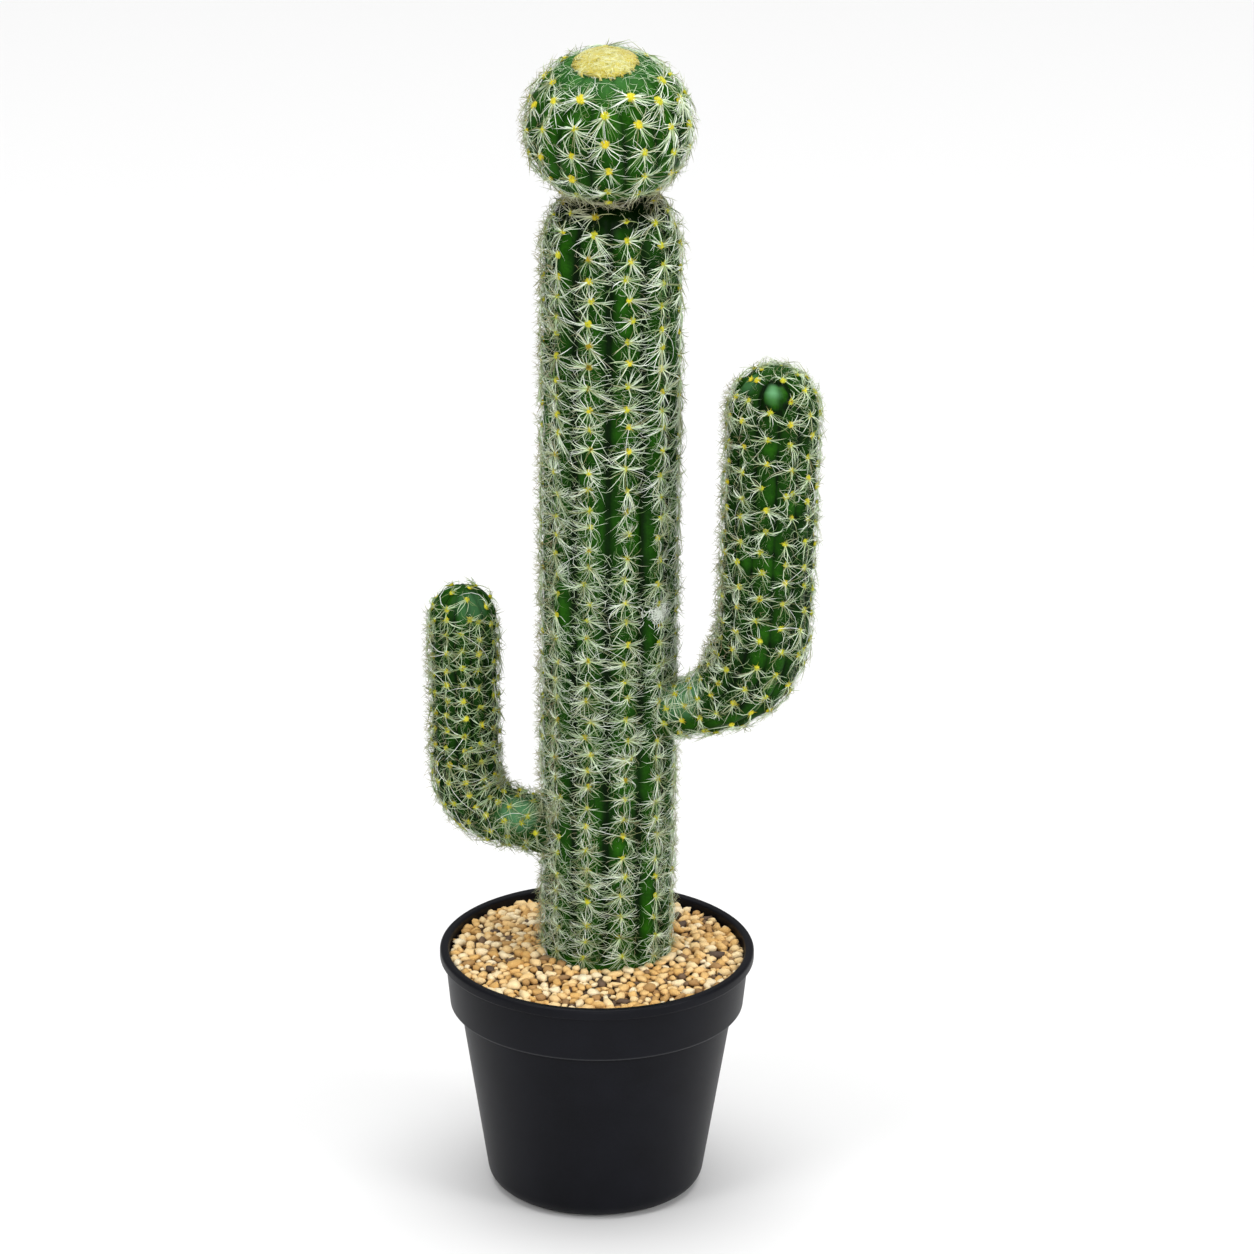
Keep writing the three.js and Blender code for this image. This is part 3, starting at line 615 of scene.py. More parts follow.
class Stem:
    """One ribbed stem with its areoles.

    phase is the turn of its first rib, depth is how deep its valleys are and crease how dark
    their painted shade is, and fine_below is the height under which its hairs are fine. Along
    the stem, skin is where the skin starts and ends, ribbed where the ribs start and where they
    are whole, and areoles where their rows start and end and how far apart they stand."""

    def __init__(
        self, name, section, ribs, phase, radius, depth, crease, fine_below, skin, ribbed,
        areoles,
    ):
        self.name = name
        self.section = section
        self.ribs = ribs
        self.phase = phase
        self.radius = radius
        self.depth = depth
        self.crease = crease
        self.fine_below = fine_below
        self.skin_start, self.skin_end = skin
        self.ribs_from, self.ribs_whole = ribbed
        self.first, self.last, self.pitch = areoles
        self.crests = [[] for _ in range(ribs)]
        self.areoles = []

    def grown(self, s):
        """0 where the ribs start and 1 from where they are whole."""
        return smoothstep(s, self.ribs_from, self.ribs_whole)

    def rib_depth(self, s, radius):
        return self.depth * self.grown(s) * radius / self.radius

    def between(self, rib, s):
        """How far a place is from the areole below to the next one, or None at the ends."""
        knots = self.crests[rib]
        i = bisect(knots, s)
        if 0 < i < len(knots):
            return (s - knots[i - 1]) / (knots[i] - knots[i - 1])
        return None

    def off_crest(self, turn):
        """The nearest rib, and the way from its crest to the valley as a share."""
        share = (turn - self.phase) / FULL_TURN * self.ribs
        rib = round(share)
        return rib % self.ribs, abs(share - rib) * 2

    def drop(self, s, turn, radius):
        """How far the skin lies under its crests at a place."""
        rib, off = self.off_crest(turn)
        fall = self.rib_depth(s, radius) * off**RIB_SHARPNESS
        share = self.between(rib, s)
        if share is not None:
            fall += NOTCH * math.sin(math.pi * share) ** 2 * (1 - off * off)
        return fall

    def point(self, s, turn, lift=0.0):
        """A point over the stem at the height of its crests, and the way out of the skin."""
        middle, side, front, along, radius, tilt = self.section(s)
        radial = side * math.cos(turn) + front * math.sin(turn)
        outward = radial * math.cos(tilt) + along * math.sin(tilt)
        return middle + radial * radius + outward * lift, outward


def scatter_areoles(stem, random, stagger, hidden, scale, tones):
    """Areoles along every crest, thinned out where the ribs run together. stagger sets a
    rib's areoles midway between those of its neighbours."""
    for rib in range(stem.ribs):
        s = stem.first + stem.pitch * ((rib % 2) / 2 if stagger else random.random())
        while s < stem.last:
            radius = stem.section(s).radius
            room = radius * FULL_TURN / stem.ribs
            stays = room > CREST_ROOM or (rib % 2 == 0 and room > EVEN_CREST_ROOM)
            turn = stem.phase + FULL_TURN * rib / stem.ribs
            turn += random.gauss(0, AREOLE_WANDER) / max(radius, LEAST_RADIUS)
            place = stem.point(s, turn)[0]
            if stays and not hidden(place):
                size = scale * random.uniform(0.75, 1.15)
                size *= mix(1.15, 0.95, fineness(stem, place))
                stem.areoles.append(Areole(s, turn, size, random.uniform(*tones)))
                stem.crests[rib].append(s)
                if random.random() < TWIN_CHANCE:
                    beside = turn + TWIN_STEP / max(radius, LEAST_RADIUS)
                    twin = Areole(s + 1, beside, TWIN_SIZE * size, random.uniform(*tones))
                    stem.areoles.append(twin)
            step = stem.pitch * random.uniform(0.8, 1.2)
            s += stem.pitch * random.uniform(0.94, 1.06) if stagger else step


def skin_piece(stem, shade, bulges=(), cut_at=None):
    """Draws the skin up ring by ring. shade gives a place's painted shade and its pale bloom
    with any painted highlight, and what lies under the height cut_at is cut off."""
    bm = bmesh.new()
    turn_layer = bm.verts.layers.float.new("turn")
    painted_shade_layer = bm.verts.layers.float.new("painted_shade")
    bloom_and_highlight_layer = bm.verts.layers.float.new("bloom_and_highlight")
    steps = stem.ribs * SKIN_STEPS_PER_RIB
    ring = bmesh.ops.create_circle(bm, segments=steps, radius=1)["verts"]
    edges = list(bm.edges)
    for vert in ring:
        vert[turn_layer] = math.atan2(vert.co.y, vert.co.x) + stem.phase
    rows = round((stem.skin_end - stem.skin_start) / SKIN_ROW)
    bmesh.ops.contextual_create(bm, geom=edges)
    for row in range(rows + 1):
        s = mix(stem.skin_start, stem.skin_end, row / rows)
        if row:
            ring, edges = next_ring(bm, edges)
        middle, side, front, along, radius, tilt = stem.section(s)
        for vert in ring:
            turn = vert[turn_layer]
            radial = side * math.cos(turn) + front * math.sin(turn)
            outward = radial * math.cos(tilt) + along * math.sin(tilt)
            vert.co = middle + radial * radius - outward * stem.drop(s, turn, radius)
            for spot, reach, rise in bulges:
                away = (vert.co - spot).length / reach
                if away < 1:
                    vert.co += outward * rise * (1 - away * away) ** 0.5
            rib, off = stem.off_crest(turn)
            share = stem.between(rib, s)
            near = 0
            if share is not None:
                near = math.cos(math.pi * share) ** 2 * (1 - off * off)
            off *= stem.grown(s) * (radius / stem.radius) ** 0.5
            dark, bloom_and_highlight = shade(vert.co)
            # Painted shade in the valleys and near the areoles, added to what shade gives.
            vert[painted_shade_layer] = clamp(stem.crease * off**4 + AREOLE_SHADE * near + dark)
            vert[bloom_and_highlight_layer] = bloom_and_highlight
    if radius < POLE_RADIUS:
        bmesh.ops.pointmerge(bm, verts=ring, merge_co=middle)
    else:
        bmesh.ops.contextual_create(bm, geom=edges)
    if cut_at is not None:
        cut = bmesh.ops.bisect_plane(
            bm, geom=[*bm.verts, *bm.edges, *bm.faces], plane_co=(0, 0, cut_at),
            plane_no=UP, clear_inner=True,
        )["geom_cut"]
        bmesh.ops.contextual_create(
            bm, geom=[item for item in cut if isinstance(item, bmesh.types.BMEdge)]
        )
    bmesh.ops.recalc_face_normals(bm, faces=bm.faces)
    finish_piece(f"{stem.name}_skin", bm, SKIN, [stem.name])


def areole_piece(stem):
    """Small felted cushions, each with a few dozen faces, seated on the crests."""
    cushion = bmesh.new()
    bmesh.ops.create_uvsphere(cushion, u_segments=7, v_segments=4, radius=1)
    for vert in cushion.verts:
        vert.co *= 1 + 0.28 * noise.noise(vert.co * 1.9)
    template = to_mesh("cushion", cushion)
    count = len(template.vertices)
    bm, tone_layer = copies(template, len(stem.areoles), "tone")
    for i, areole in enumerate(stem.areoles):
        place, outward = stem.point(areole.s, areole.turn)
        along = stem.section(areole.s).along
        across = along.cross(outward).normalized()
        upward = outward.cross(across)
        twist = math.tau * areole.tone * 7
        wide = (across * math.cos(twist) + upward * math.sin(twist)) * AREOLE_RADIUS
        tall = (upward * math.cos(twist) - across * math.sin(twist)) * AREOLE_RADIUS
        for k in range(i * count, (i + 1) * count):
            vert = bm.verts[k]
            x, y, z = vert.co
            off_seat = wide * x + tall * y + outward * AREOLE_RISE * (z + AREOLE_SEAT)
            vert.co = place + off_seat * areole.size
            pitted = z > 0.9 and areole.tone * 8 % 1 < 0.2
            vert[tone_layer] = 0 if pitted else max(areole.tone, 0.05)
    bpy.data.meshes.remove(template)
    finish_piece(f"{stem.name}_areoles", bm, FELT)


# Hairs.
# A hair's root is yellow where white is 0, and as pale as the rest of it where white is 1.
# dry is how far it has turned tan.
Hair = namedtuple("Hair", "path outward width tone white dry", defaults=(0, 0))


def fineness(stem, place):
    """0 where the hairs are coarse and straight, 1 where they are fine and curly."""
    return 1 - smoothstep(place.z, stem.fine_below, stem.fine_below + FINE_FADE)


def neck_dryness(place):
    """The hairs are tan where the ball meets the column."""
    off_axis = math.hypot(place.x - COLUMN_X, place.y - COLUMN_Y)
    near = 1 - smoothstep(abs(place.z - NECK_HEIGHT), 2, NECK_REACH)
    return NECK_DRYNESS * near * (1 - smoothstep(off_axis, NECK_RADIUS, NECK_RADIUS + 6))


def straight_hair(stretches):
    """A three-sided hair along +Z, a unit long in each stretch, that thins out to a point."""
    bm = bmesh.new()
    bmesh.ops.create_circle(bm, cap_ends=True, segments=3, radius=1)
    edges = list(bm.edges)
    for _ in range(stretches):
        ring, edges = next_ring(bm, edges)
        bmesh.ops.scale(bm, vec=(HAIR_THINNING, HAIR_THINNING, 1), verts=ring)
        bmesh.ops.translate(bm, vec=UP, verts=ring)
    bmesh.ops.pointmerge(bm, verts=ring, merge_co=UP * stretches)
    bmesh.ops.recalc_face_normals(bm, faces=bm.faces)
    return to_mesh("straight_hair", bm)


def bent_hairs(name, hairs, material, replaced=()):
    """One copy of the straight hair for each path, bent along it."""
    stretches = len(hairs[0].path) - 1
    template = straight_hair(stretches)
    bm, tone_layer, along_layer, dry_layer = copies(
        template, len(hairs), "tone", "along", "dry"
    )
    spots = [(round(vert.co.z), vert.co.x, vert.co.y) for vert in template.vertices]
    for i, hair in enumerate(hairs):
        frames = []
        for j, place in enumerate(hair.path):
            before = hair.path[max(j - 1, 0)]
            after = hair.path[min(j + 1, stretches)]
            direction = (after - before).normalized()
            over = hair.outward - direction * hair.outward.dot(direction)
            over.normalize()
            beside = direction.cross(over)
            frames.append((place, over * hair.width, beside * hair.width))
        for k, (j, x, y) in enumerate(spots):
            vert = bm.verts[i * len(spots) + k]
            place, over, beside = frames[j]
            vert.co = place + over * x + beside * y
            vert[tone_layer] = hair.tone
            vert[along_layer] = mix(hair.white, 1, j / stretches)
            vert[dry_layer] = max(hair.dry, neck_dryness(place))
    bpy.data.meshes.remove(template)
    finish_piece(name, bm, material, replaced)


def lying_hair(stem, s, turn, heading, length, lifts, curl, stretches=HAIR_STEPS):
    """Path of a hair that arches over the skin between its lift at the root and the tip."""
    root_lift, arch, tip_lift = lifts
    step = length / stretches
    path = []
    for j in range(stretches + 1):
        share = j / stretches
        radius = stem.section(s).radius
        lift = mix(root_lift, tip_lift, share**1.5) + arch * 4 * share * (1 - share)
        lift = max(lift, 0.3 - stem.drop(s, turn, radius))
        place, outward = stem.point(s, turn, lift)
        path.append(place)
        if not j:
            root_outward = outward
        bend = heading + curl * share
        s += step * math.cos(bend)
        turn += step * math.sin(bend) / max(radius, 6)
    return path, root_outward


# What grows on a stem: how many hairs an areole has and how long they are, the shares that
# hang towards the foot and lie across the valleys, how bare the skin is kept at a place, where
# another piece hides it, how many fine hairs there are (fuzz), floating hairs (halo) and
# tangled hairs for each areole, how far the first two stand off, and the hairs' tones.
Coat = namedtuple(
    "Coat", "stem seed count length combed bare hidden fuzz halo rise tangled tones"
)


def across_ribs(random, spread):
    return random.choice((-1, 1)) * RIGHT_ANGLE + random.gauss(0, spread)


def shown(coat, random, path):
    """Whether a hair is kept where the skin is bare."""
    return random.random() >= max(coat.bare(point) for point in path)


def left_side(outward):
    """1 on the stem's left, where the loose hairs are thickest and stand off furthest."""
    return smoothstep(-outward.x, 0.6, 0.9)


def everywhere(place, outward):
    return 1


def woolly(place, outward):
    """Whole at the foot and on the left, and a quarter elsewhere."""
    return 1 - 0.75 * smoothstep(place.z, *WOOLLY_FOOT) * (1 - left_side(outward))


Spot = namedtuple("Spot", "s turn radius place outward")


def draw_spot(coat, random, off_crest, cover=everywhere):
    """A place on the stem that no other piece hides. It lies off_crest ribs from a crest, and
    cover is the share of such places that are taken."""
    stem = coat.stem
    while True:
        s = random.uniform(stem.first, stem.last)
        turn = stem.phase + FULL_TURN * (random.randrange(stem.ribs) + off_crest()) / stem.ribs
        place, outward = stem.point(s, turn)
        radius = stem.section(s).radius
        if coat.hidden(place):
            continue
        if random.random() * stem.radius <= radius * cover(place, outward):
            return Spot(s, turn, radius, place, outward)


def star_hairs(coat, random):
    """The hairs of every areole: some in tufts, the others loose."""
    stem = coat.stem
    down, sideways = coat.combed
    hairs = []
    for areole in stem.areoles:
        place = stem.point(areole.s, areole.turn)[0]
        thick = 0.5 + 0.6 * noise.noise(place * 0.035 + Vector((stem.ribs, 3, 1)))
        fine = fineness(stem, place)
        fullness = mix(0.7, 1.3, clamp(thick)) * mix(0.92, 1.15, fine)
        tufts = [
            (across_ribs(random, 0.8), random.uniform(0.9, 1.35))
            for _ in range(random.randint(2, 4))
        ]
        for _ in range(round(coat.count * fullness * random.uniform(0.85, 1.15))):
            heading = random.uniform(0, FULL_TURN)
            chance = random.random()
            if chance < down:
                heading = math.pi + random.gauss(0, 1.1)
            elif chance < down + sideways:
                heading = across_ribs(random, 0.5)
            reach = random.uniform(0.45, 1.1)
            tone = random.betavariate(1.5, 1.2)
            if random.random() < TUFTED_SHARE:
                heading, reach = random.choice(tufts)
                heading += random.gauss(0, 0.22)
                reach *= random.uniform(0.75, 1.1)
                tone = random.uniform(0.6, 1)
            lifts = (0.5, random.uniform(0.3, 1.6), random.uniform(-2.8, 1.2))
            dry = 0
            if random.random() < STANDING_SHARE:
                lifts = (0.5, random.uniform(0, 0.8), random.uniform(2.2, 5.4))
                tone *= 0.8
                dry = random.uniform(0.2, 0.6)
            reach *= mix(1.1, 1, fine) * (1 - 0.3 * math.cos(heading))
            curl = random.gauss(0, mix(0.6, 1.1, fine))
            width = HAIR_WIDTH * mix(0.5, 1.1, random.random() * mix(0.5, 1, tone))
            width *= mix(0.9, 0.62, fine)
            # A hair that would lie over a bare place is tried once more, shorter.
            for shorter in (1, 0.6):
                path, outward = lying_hair(
                    stem, areole.s, areole.turn, heading, coat.length * reach * shorter, lifts,
                    curl,
                )
                if shown(coat, random, path[1:]):
                    hairs.append(Hair(path, outward, width, mix(*coat.tones, tone), 0, dry))
                    break
    return hairs


def tangled_hairs(coat, random):
    """Loose hairs caught across the valleys, thick in some places and absent in others."""
    stem = coat.stem
    hairs = []
    while len(hairs) < round(coat.tangled * len(stem.areoles)):
        spot = draw_spot(coat, random, lambda: 0.5 + random.gauss(0, 0.2))
        clump = noise.noise(spot.place * 0.05 + Vector((7, stem.ribs, 2)))
        if clump < random.uniform(-0.45, 0.25):
            continue
        heading = across_ribs(random, 0.65)
        depth = stem.drop(spot.s, spot.turn, spot.radius)
        lifts = [random.uniform(-0.7 * depth, 0.4) for _ in range(2)]
        path, outward = lying_hair(
            stem, spot.s, spot.turn, heading, random.uniform(5, 11), (lifts[0], 0, lifts[1]),
            random.gauss(0, 1.3),
        )
        if shown(coat, random, path):
            tone = mix(*coat.tones, random.betavariate(1.8, 1.6))
            width = HAIR_WIDTH * random.uniform(0.2, 0.42)
            hairs.append(Hair(path, outward, width, tone, 1))
    return hairs


def fuzz_hairs(coat, random):
    """Fine short hairs that stand out of the skin all over the stem."""
    stem = coat.stem
    hairs = []
    while len(hairs) < coat.fuzz:
        spot = draw_spot(coat, random, lambda: random.uniform(-0.25, 0.25))
        left = left_side(spot.outward)
        tip_lift = coat.rise * random.uniform(0.15, 1) * mix(1, LEFT_RISE, left)
        lifts = (0.2 - stem.drop(spot.s, spot.turn, spot.radius), 0, tip_lift)
        path, outward = lying_hair(
            stem, spot.s, spot.turn, random.uniform(0, FULL_TURN), random.uniform(0.4, 2.8),
            lifts, 0, FUZZ_STEPS,
        )
        if shown(coat, random, path):
            width = HAIR_WIDTH * random.uniform(0.13, 0.22) * mix(1, LEFT_WIDTH, left)
            dry = random.uniform(0.2, 0.6)
            hairs.append(Hair(path, outward, width, random.uniform(0.35, 0.75), 1, dry))
    return hairs


def halo_hairs(coat, random):
    """Thin bent hairs that float over the others and blur the stem's outline."""
    stem = coat.stem
    hairs = []
    while len(hairs) < coat.halo:
        spot = draw_spot(coat, random, lambda: random.uniform(-0.35, 0.35), woolly)
        left = left_side(spot.outward)
        tip_lift = coat.rise * random.uniform(0.4, 1) * mix(1, LEFT_RISE, left)
        lifts = (random.uniform(0.2, 1.5), 0.5, tip_lift)
        path, outward = lying_hair(
            stem, spot.s, spot.turn, random.uniform(0, FULL_TURN), random.uniform(2, 6), lifts,
            random.gauss(0, 1.5),
        )
        if shown(coat, random, path):
            width = HAIR_WIDTH * random.uniform(0.16, 0.28) * mix(1, LEFT_WIDTH, left)
            dry = random.uniform(0.45, 0.95)
            hairs.append(Hair(path, outward, width, random.uniform(0.3, 0.8), 1, dry))
    return hairs


def stray_hairs(coat, random):
    """A few long strands that cross several ribs."""
    stem = coat.stem
    hairs = []
    for _ in range(len(stem.areoles) // CROSSING_STRANDS):
        areole = random.choice(stem.areoles)
        lifts = (0.5, random.uniform(1, 2.4), random.uniform(-1, 3))
        heading = random.uniform(0, FULL_TURN)
        path, outward = lying_hair(
            stem, areole.s, areole.turn, heading, random.uniform(15, 25), lifts,
            random.gauss(0, 1.6), STRAY_STEPS,
        )
        if shown(coat, random, path[1:]):
            hairs.append(Hair(path, outward, HAIR_WIDTH * random.uniform(0.34, 0.52), 1, 1))
    return hairs


def felt_bristles(stem, random, count):
    """Short golden bristles that make the areoles' edges ragged."""
    bristles = []
    for areole in stem.areoles:
        for _ in range(count):
            lifts = (0.3, 0, random.uniform(0.3, 1.8))
            length = AREOLE_RADIUS * random.uniform(1, 1.9)
            path, outward = lying_hair(
                stem, areole.s, areole.turn, random.uniform(0, FULL_TURN), length, lifts, 0,
                FUZZ_STEPS,
            )
            tone = clamp(areole.tone + random.gauss(0, 0.15), 0.1)
            bristles.append(Hair(path, outward, random.uniform(0.25, 0.45), tone))
    return bristles


def crown_strands(stem, random, count):
    """Fine pale hairs that lie over the skin round the crown."""
    edge = HEAD_RADIUS * (math.pi - math.asin(CROWN_RADIUS / HEAD_RADIUS))
    hairs = []
    for _ in range(count):
        lifts = (random.uniform(0, 0.5), random.uniform(0.2, 0.9), random.uniform(0, 1.2))
        path, outward = lying_hair(
            stem, edge - random.uniform(-1, 17), random.uniform(0, FULL_TURN),
            random.gauss(math.pi, 1.2), random.uniform(4, 11), lifts, random.gauss(0, 1.2),
        )
        width = HAIR_WIDTH * random.uniform(0.16, 0.32)
        hairs.append(Hair(path, outward, width, random.uniform(0.3, 0.8), 1))
    return hairs


def neck_skirt(stem, random, count):
    """Dry hairs that hang from the ball's underside over the joint."""
    hairs = []
    for _ in range(count):
        lifts = (0.2, random.uniform(0, 1), random.uniform(1, 6))
        path, outward = lying_hair(
            stem, random.uniform(17, 38), random.uniform(0, FULL_TURN),
            random.gauss(math.pi, 0.8), random.uniform(3, 9), lifts, random.gauss(0, 0.9),
        )
        width = HAIR_WIDTH * random.uniform(0.22, 0.45)
        tone = random.uniform(0.45, 1)
        hairs.append(Hair(path, outward, width, tone, 1, random.uniform(0, 0.7)))
    return hairs


def cotton_tuft(stem, random, s, turn, reach, count):
    """A small tangle of fine white fibres caught among the hairs."""
    hairs = []
    for _ in range(count):
        away = reach * min(abs(random.gauss(0, 0.5)), 1.2)
        side = random.uniform(0, FULL_TURN)
        start_s = s + 0.7 * away * math.cos(side)
        start_turn = turn + away * math.sin(side) / stem.radius
        height = 3.2 * max(0, 1 - (away / reach) ** 2)
        root_lift = random.uniform(-0.5, height)
        lifts = (root_lift, random.uniform(0, 1.2), random.uniform(0, height))
        path, outward = lying_hair(
            stem, start_s, start_turn, random.uniform(0, FULL_TURN), random.uniform(3, 7),
            lifts, random.gauss(0, 2.5),
        )
        hairs.append(Hair(path, outward, random.uniform(0.1, 0.18), random.uniform(0.9, 1), 1))
    return hairs


def hair_pieces(stem, hairs):
    """The hairs as one piece, or as several where one would have too many triangles."""
    triangles = 6 * HAIR_STEPS - 2
    most = MOST_TRIANGLES // triangles
    parts = math.ceil(len(hairs) / most)
    share = math.ceil(len(hairs) / parts)
    for i in range(parts):
        name = f"{stem.name}_hairs" if parts == 1 else f"{stem.name}_hairs_{i + 1}"
        bent_hairs(name, hairs[i * share : (i + 1) * share], WHITE)


# The pot.
def inner_wall(height):
    return WALL_RADIUS_AT_FLOOR - WALL + WALL_SLOPE * height


def inner_band(height):
    share = (height - BAND_LOW) / (LIP_LOW - BAND_LOW)
    return mix(BAND_RADIUS_LOW, BAND_RADIUS_HIGH, share) - WALL


def rounded(centre, radius, start_deg, end_deg, steps):
    """Points of an arc in the profile's plane, as (radius, height)."""
    x, y = centre
    turns = [math.radians(mix(start_deg, end_deg, i / steps)) for i in range(steps + 1)]
    return [(x + radius * math.cos(turn), y + radius * math.sin(turn)) for turn in turns]


def turned(bm, profile, steps):
    """A full turn about +Z of a profile of (radius, height) points."""
    verts = [bm.verts.new((radius, 0, height)) for radius, height in profile]
    edges = [bm.edges.new(pair) for pair in zip(verts, verts[1:])]
    bmesh.ops.spin(
        bm, geom=[*verts, *edges], cent=(0, 0, 0), axis=UP, angle=FULL_TURN,
        steps=steps, use_merge=True,
    )
    bmesh.ops.remove_doubles(bm, verts=bm.verts, dist=0.0005)
    bmesh.ops.recalc_face_normals(bm, faces=bm.faces)


def pot_piece():
    outer = WALL_RADIUS_AT_FLOOR + WALL_SLOPE * BASE_FILLET
    lean = math.degrees(math.atan(WALL_SLOPE))
    shelf = BAND_LOW + WALL
    lip_middle = POT_HEIGHT - LIP_ROUND
    base = FLOOR + INNER_FILLET
    inner_base = (inner_wall(FLOOR) - INNER_FILLET + 0.5, base)
    profile = [
        (0, 0),
        *rounded((outer - BASE_FILLET, BASE_FILLET), BASE_FILLET, -90, -lean, FILLET_STEPS),
        (WALL_RADIUS_AT_FLOOR + WALL_SLOPE * BAND_LOW, BAND_LOW),
        *rounded(
            (BAND_RADIUS_LOW - EDGE_ROUND, BAND_LOW + EDGE_ROUND), EDGE_ROUND, -90, -5,
            EDGE_STEPS,
        ),
        (BAND_RADIUS_HIGH, LIP_LOW),
        *rounded(
            (RIM_RADIUS - EDGE_ROUND, LIP_LOW + EDGE_ROUND), EDGE_ROUND, -90, 0, EDGE_STEPS
        ),
        *rounded((RIM_RADIUS - LIP_ROUND, lip_middle), LIP_ROUND, 0, 90, LIP_STEPS),
        *rounded(
            (inner_band(LIP_LOW + WALL) + LIP_ROUND, lip_middle), LIP_ROUND, 90, 180, LIP_STEPS
        ),
        (inner_band(shelf), shelf),
        (inner_wall(shelf), shelf),
        (inner_wall(base), base),
        *rounded(inner_base, INNER_FILLET, -9, -90, LIP_STEPS),
        (0, FLOOR),
    ]
    bm = bmesh.new()
    turned(bm, profile, POT_STEPS)
    piece = finish_piece("pot_shell", bm, PLASTIC, ["pot"], crease_deg=35)
    drill = bmesh.new()
    for i in range(DRAIN_HOLES):
        turn = (i + 0.5) / DRAIN_HOLES * FULL_TURN
        place = Vector((DRAIN_CIRCLE * math.cos(turn), DRAIN_CIRCLE * math.sin(turn), 0))
        bmesh.ops.create_cone(
            drill, cap_ends=True, segments=32, radius1=DRAIN_RADIUS, radius2=DRAIN_RADIUS,
            depth=4 * FLOOR, matrix=Matrix.Translation(place),
        )
    bmesh.ops.scale(drill, vec=(MM, MM, MM), verts=drill.verts)
    drill_object = add_object("drain_drill", to_mesh("drain_drill", drill))
    holes = piece.modifiers.new("drain holes", "BOOLEAN")
    holes.operation = "DIFFERENCE"
    holes.solver = "EXACT"
    holes.object = drill_object
    bpy.context.view_layer.update()
    drilled = bpy.data.meshes.new_from_object(
        piece.evaluated_get(bpy.context.evaluated_depsgraph_get())
    )
    piece.modifiers.clear()
    piece.data = drilled
    bpy.data.objects.remove(drill_object)


# The gravel.
def mound(x, y):
    reach = (inner_band(GRAVEL_TOP) - math.hypot(x, y)) / inner_band(GRAVEL_TOP)
    return GRAVEL_TOP + 2 * GRAVEL_MOUND * max(0, reach)


def gravel_bed():
    """The grit under the loose stones, which closes the gaps among them and is painted dark as
    the shade in them.
    """
    low = SOIL_TOP + GAP
    outer = inner_band(low) - GAP
    profile = [(0, low), (outer, low)]
    for i in range(BED_ROWS + 1):
        radius = mix(outer + BED_OVERLAP, BED_FLAT, i / BED_ROWS)
        profile.append((radius, mound(radius, 0) - BED_DEPTH))
    profile.append((0, mound(BED_FLAT, 0) - BED_DEPTH))
    bm = bmesh.new()
    turned(bm, profile, BED_STEPS)
    finish_piece("gravel_bed", bm, GRIT_AND_SHADE, ["gravel"], crease_deg=40)


def rounded_block():
    """A stone to copy: a block with its faces cut in four and its corners drawn in."""
    bm = bmesh.new()
    bmesh.ops.create_cube(bm, size=1)
    bmesh.ops.subdivide_edges(bm, edges=bm.edges, cuts=1, use_grid_fill=True)
    for vert in bm.verts:
        vert.co = vert.co.lerp(vert.co.normalized() * 0.5, 0.72)
    return to_mesh("rounded_block", bm)


def pebble_spots(random):
    """Places and sizes of the stones, the large ones first and no two too close."""
    inside = inner_band(GRAVEL_TOP)
    grid = {}
    spots = []
    for size, tries in STONE_SIZES:
        for _ in range(tries):
            away = inside * math.sqrt(random.random())
            turn = random.uniform(0, FULL_TURN)
            x = away * math.cos(turn)
            y = away * math.sin(turn)
            own = size * random.uniform(0.9, 1.1)
            if away > inside - 0.45 * own:
                continue
            if math.hypot(x - COLUMN_X, y - COLUMN_Y) < COLUMN_RADIUS_LOW + 0.25 * own:
                continue
            column = x // STONE_CELL
            row = y // STONE_CELL
            near = [
                spot
                for i in (-1, 0, 1)
                for j in (-1, 0, 1)
                for spot in grid.get((column + i, row + j), ())
            ]
            if all(
                math.hypot(x - a, y - b) > STONE_SPACING * (own + other) for a, b, other in near
            ):
                grid.setdefault((column, row), []).append((x, y, own))
                spots.append((x, y, own))
    return spots


def pebble_piece():
    random = Random(7)
    template = rounded_block()
    count = len(template.vertices)
    stones = []
    for sunk in (0, LOWER_LAYER):
        stones += [(*spot, sunk) for spot in pebble_spots(random)]
    bm, tone_layer = copies(template, len(stones), "tone")
    for i, (x, y, size, sunk) in enumerate(stones):
        spin = Matrix.Rotation(random.uniform(0, FULL_TURN), 3, "Z")
        tip = Matrix.Rotation(random.gauss(0, 0.4), 3, "X")
        roll = Matrix.Rotation(random.uniform(0, FULL_TURN), 3, "Y")
        form = spin @ tip @ Matrix.Diagonal((
            size * random.uniform(1, 1.5),
            size * random.uniform(0.75, 1.02),
            size * random.uniform(0.6, 0.85),
        )) @ roll
        height = mound(x, y) + random.uniform(-0.7, 0.9) - sunk
        place = Vector((x, y, height))
        seed = Vector((x, y, sunk))
        # Painted shade: the lower layer's stones are kept dark.
        tone = random.random() * (LOWER_SHADE_TONE if sunk else 1)
        for k in range(i * count, (i + 1) * count):
            vert = bm.verts[k]
            lump = 1 + 0.5 * noise.noise(vert.co * 1.6 + seed)
            vert.co = place + form @ (vert.co * lump)
            vert[tone_layer] = tone
    bpy.data.meshes.remove(template)
    finish_piece("pebbles", bm, STONE, ["gravel"])


# The crown.
def on_head(place):
    return HEAD_MIDDLE + HEAD_LEAN @ place


